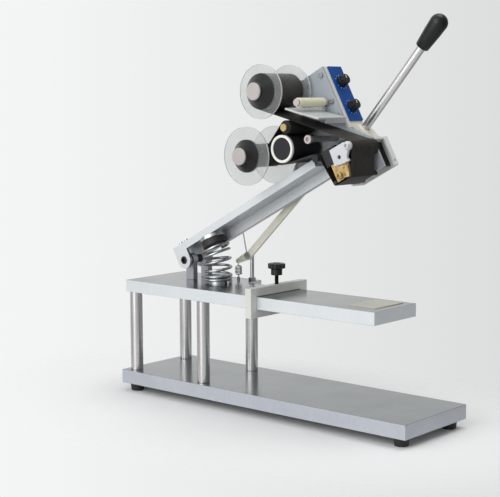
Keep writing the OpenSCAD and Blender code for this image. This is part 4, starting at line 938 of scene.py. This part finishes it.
def hub(at, wide, bore):
    profile = [(hub_near, bore), (hub_near, 10.2), (hub_near + 0.5, 10.7), (hub_near + 2, 11.2),
               (hub_far - 1, wide - 0.8), (hub_far - 0.5, wide - 0.2), (hub_far, wide), (hub_far, bore)]
    return turned(at, FAR, profile, count=96, closed=True)


fit("supply_hub_moulded", hub(supply_at, 21, supply_bore), black_moulding,
    "supply_reel", "black_plastic", "supply_hub")
# Spun aluminium: a dull, slightly rosy pale grey.
cap_metal = worked("spun_aluminium_cap", "#bdb7b4", "#aca5a2", (0.5, 20, 0.5), (0.42, 0.55), 0.004,
                   metallic=0.25)
cap_near, cap_r = hub_near - 2, 10.3
cap_front = [(cap_near, 0), (cap_near, cap_r - 0.7), (cap_near + 0.6, cap_r), (hub_near, cap_r)]
cap = turned(supply_at, FAR, cap_front + [(hub_near, 0)], count=96)
fit("supply_cap_spun", cap, cap_metal, "supply_reel", "bright_steel", "supply_cap")

# Take-up reel: a black spool with a flange, two clear acrylic discs and a moulded cone.
# They are fixed on a shaft with a spun cap, which runs through the side plate to its belt pulley.
takeup_at, takeup_bore = on_arm(takeup_roll[0], 0, takeup_roll[1]), shaft_r + 0.01
core_r, flange_r, flange_far = takeup_roll[2], 19.5, 25
spool_profile = stepped(bar(reel_near, flange_far, flange_r, 0.4, 0.4, takeup_bore),
                        bar(flange_far, reel_far, core_r, bore=takeup_bore))
spool = turned(takeup_at, FAR, spool_profile, count=96, closed=True)
fit("takeup_spool_wound", spool, foil, "takeup_reel", "black_plastic", "takeup_spool")
takeup_discs = fit("takeup_discs_clear", reel_discs(takeup_at, 35, takeup_bore), acrylic,
                   "takeup_reel", "clear_plastic", "takeup_discs")
second_finish(takeup_discs, acrylic_edge, at_the_rim)
fit("takeup_hub_moulded", hub(takeup_at, 19.5, takeup_bore), black_moulding,
    "takeup_reel", "black_plastic", "takeup_hub")
takeup_end = 89.5
takeup_profile = cap_front + bar(hub_near, takeup_end, shaft_r, last=0.5)[1:]
fit("takeup_shaft_spun", turned(takeup_at, FAR, takeup_profile, count=96), cap_metal,
    "takeup_reel", "bright_steel", "takeup_shaft")
fit_node("takeup_pulley_turned", "takeup_pulley", 0.2, black_steel, "takeup_reel", "plated_steel")

# Drive roller: a rubber covered roller with a white acetal ring pressed on its near end.
# Its ground steel shaft runs through the side plate to a pulley and a collar.
drive_at = on_arm(drive_roller[0], 0, drive_roller[1])
drive_r, core_near, ring_seat_r = drive_roller[2], 23, 13
# Ground rubber: a deep matt black. The lines from the wheel are drawn at 0.6 mm, coarser than real.
roller_rubber = worked("ground_roller_rubber", "#232327", "#19191c", (0.6, 6, 0.6), (0.5, 0.65), 0.015,
                       specular_ior_level=0.3)
drive_profile = stepped(bar(core_near, roller_near, ring_seat_r, 0.4),
                        bar(roller_near, roller_far, drive_r, 0.4, 0.4))
fit("drive_roller_covered", turned(drive_at, FAR, drive_profile, count=96), roller_rubber,
    "drive", "black_rubber", "drive_roller")
# Turned acetal: a clean white with a low waxy gloss.
ring_plastic = worked("turned_white_acetal", "#efedea", "#e2dfda", 1.5, (0.35, 0.45))
white_near, white_r, white_bore = 22, 16.2, ring_seat_r + 0.01
ring_profile = [(white_near, 13.4), (white_near, white_r - 0.5), (white_near + 0.5, white_r),
                (roller_near, white_r), (roller_near, white_bore), (white_near + 0.4, white_bore)]
ring = turned(drive_at, FAR, ring_profile, count=96, closed=True)
fit("drive_ring_white", ring, ring_plastic, "drive", "pale_plastic", "drive_ring")
collar_near, collar_far, collar_r = 93.9, 96.5, 6.5
shaft_profile = stepped(bar(roller_far, collar_near, shaft_r),
                        bar(collar_near, collar_far, collar_r, 0.4, 0.4))
fit("drive_shaft_ground", turned(drive_at, FAR, shaft_profile), ground_bar,
    "drive", "bright_steel", "drive_shaft")
fit_node("drive_pulley_turned", "drive_pulley", 0.2, black_steel, "drive", "plated_steel")


# Pinch roller and guide sleeve: a rubber covered roller that presses the film on the drive roller.
# The sleeve, turned from nylon, runs loose on its stud under the supply reel.
def loose_tube(at, radius):
    return turned(at, FAR, bar(roller_near, roller_far, radius, 0.4, 0.4, axle_r + 0.05), closed=True)


fit("pinch_roller_covered", loose_tube(pinch_at, pinch_roller[2]), roller_rubber,
    "pinch", "black_rubber", "pinch_roller")
# Turned nylon: ivory, with a soft shine and light that goes a little way in.
ivory = worked("turned_ivory_nylon", "#e6e0c8", "#d9d1b4", (1.2, 6, 1.2), (0.34, 0.46), 0.004,
               subsurface_weight=0.1)
fit("guide_sleeve_nylon", loose_tube(on_arm(277, 0, 80), 5.4), ivory,
    "sleeve", "pale_plastic", "guide_sleeve")

# Feed rod and crank: a strap of steel in cream enamel, from the anchor to the pin of a plated crank.
# The crank sits on the drive shaft and turns the rollers as the arm comes up.
fit_node("feed_rod_enamelled", "feed_rod", 0.4, cream_coat, "rod", "cream_paint")
fit_node("feed_crank_plated", "feed_crank", 0.3, plated, "crank", "plated_steel")
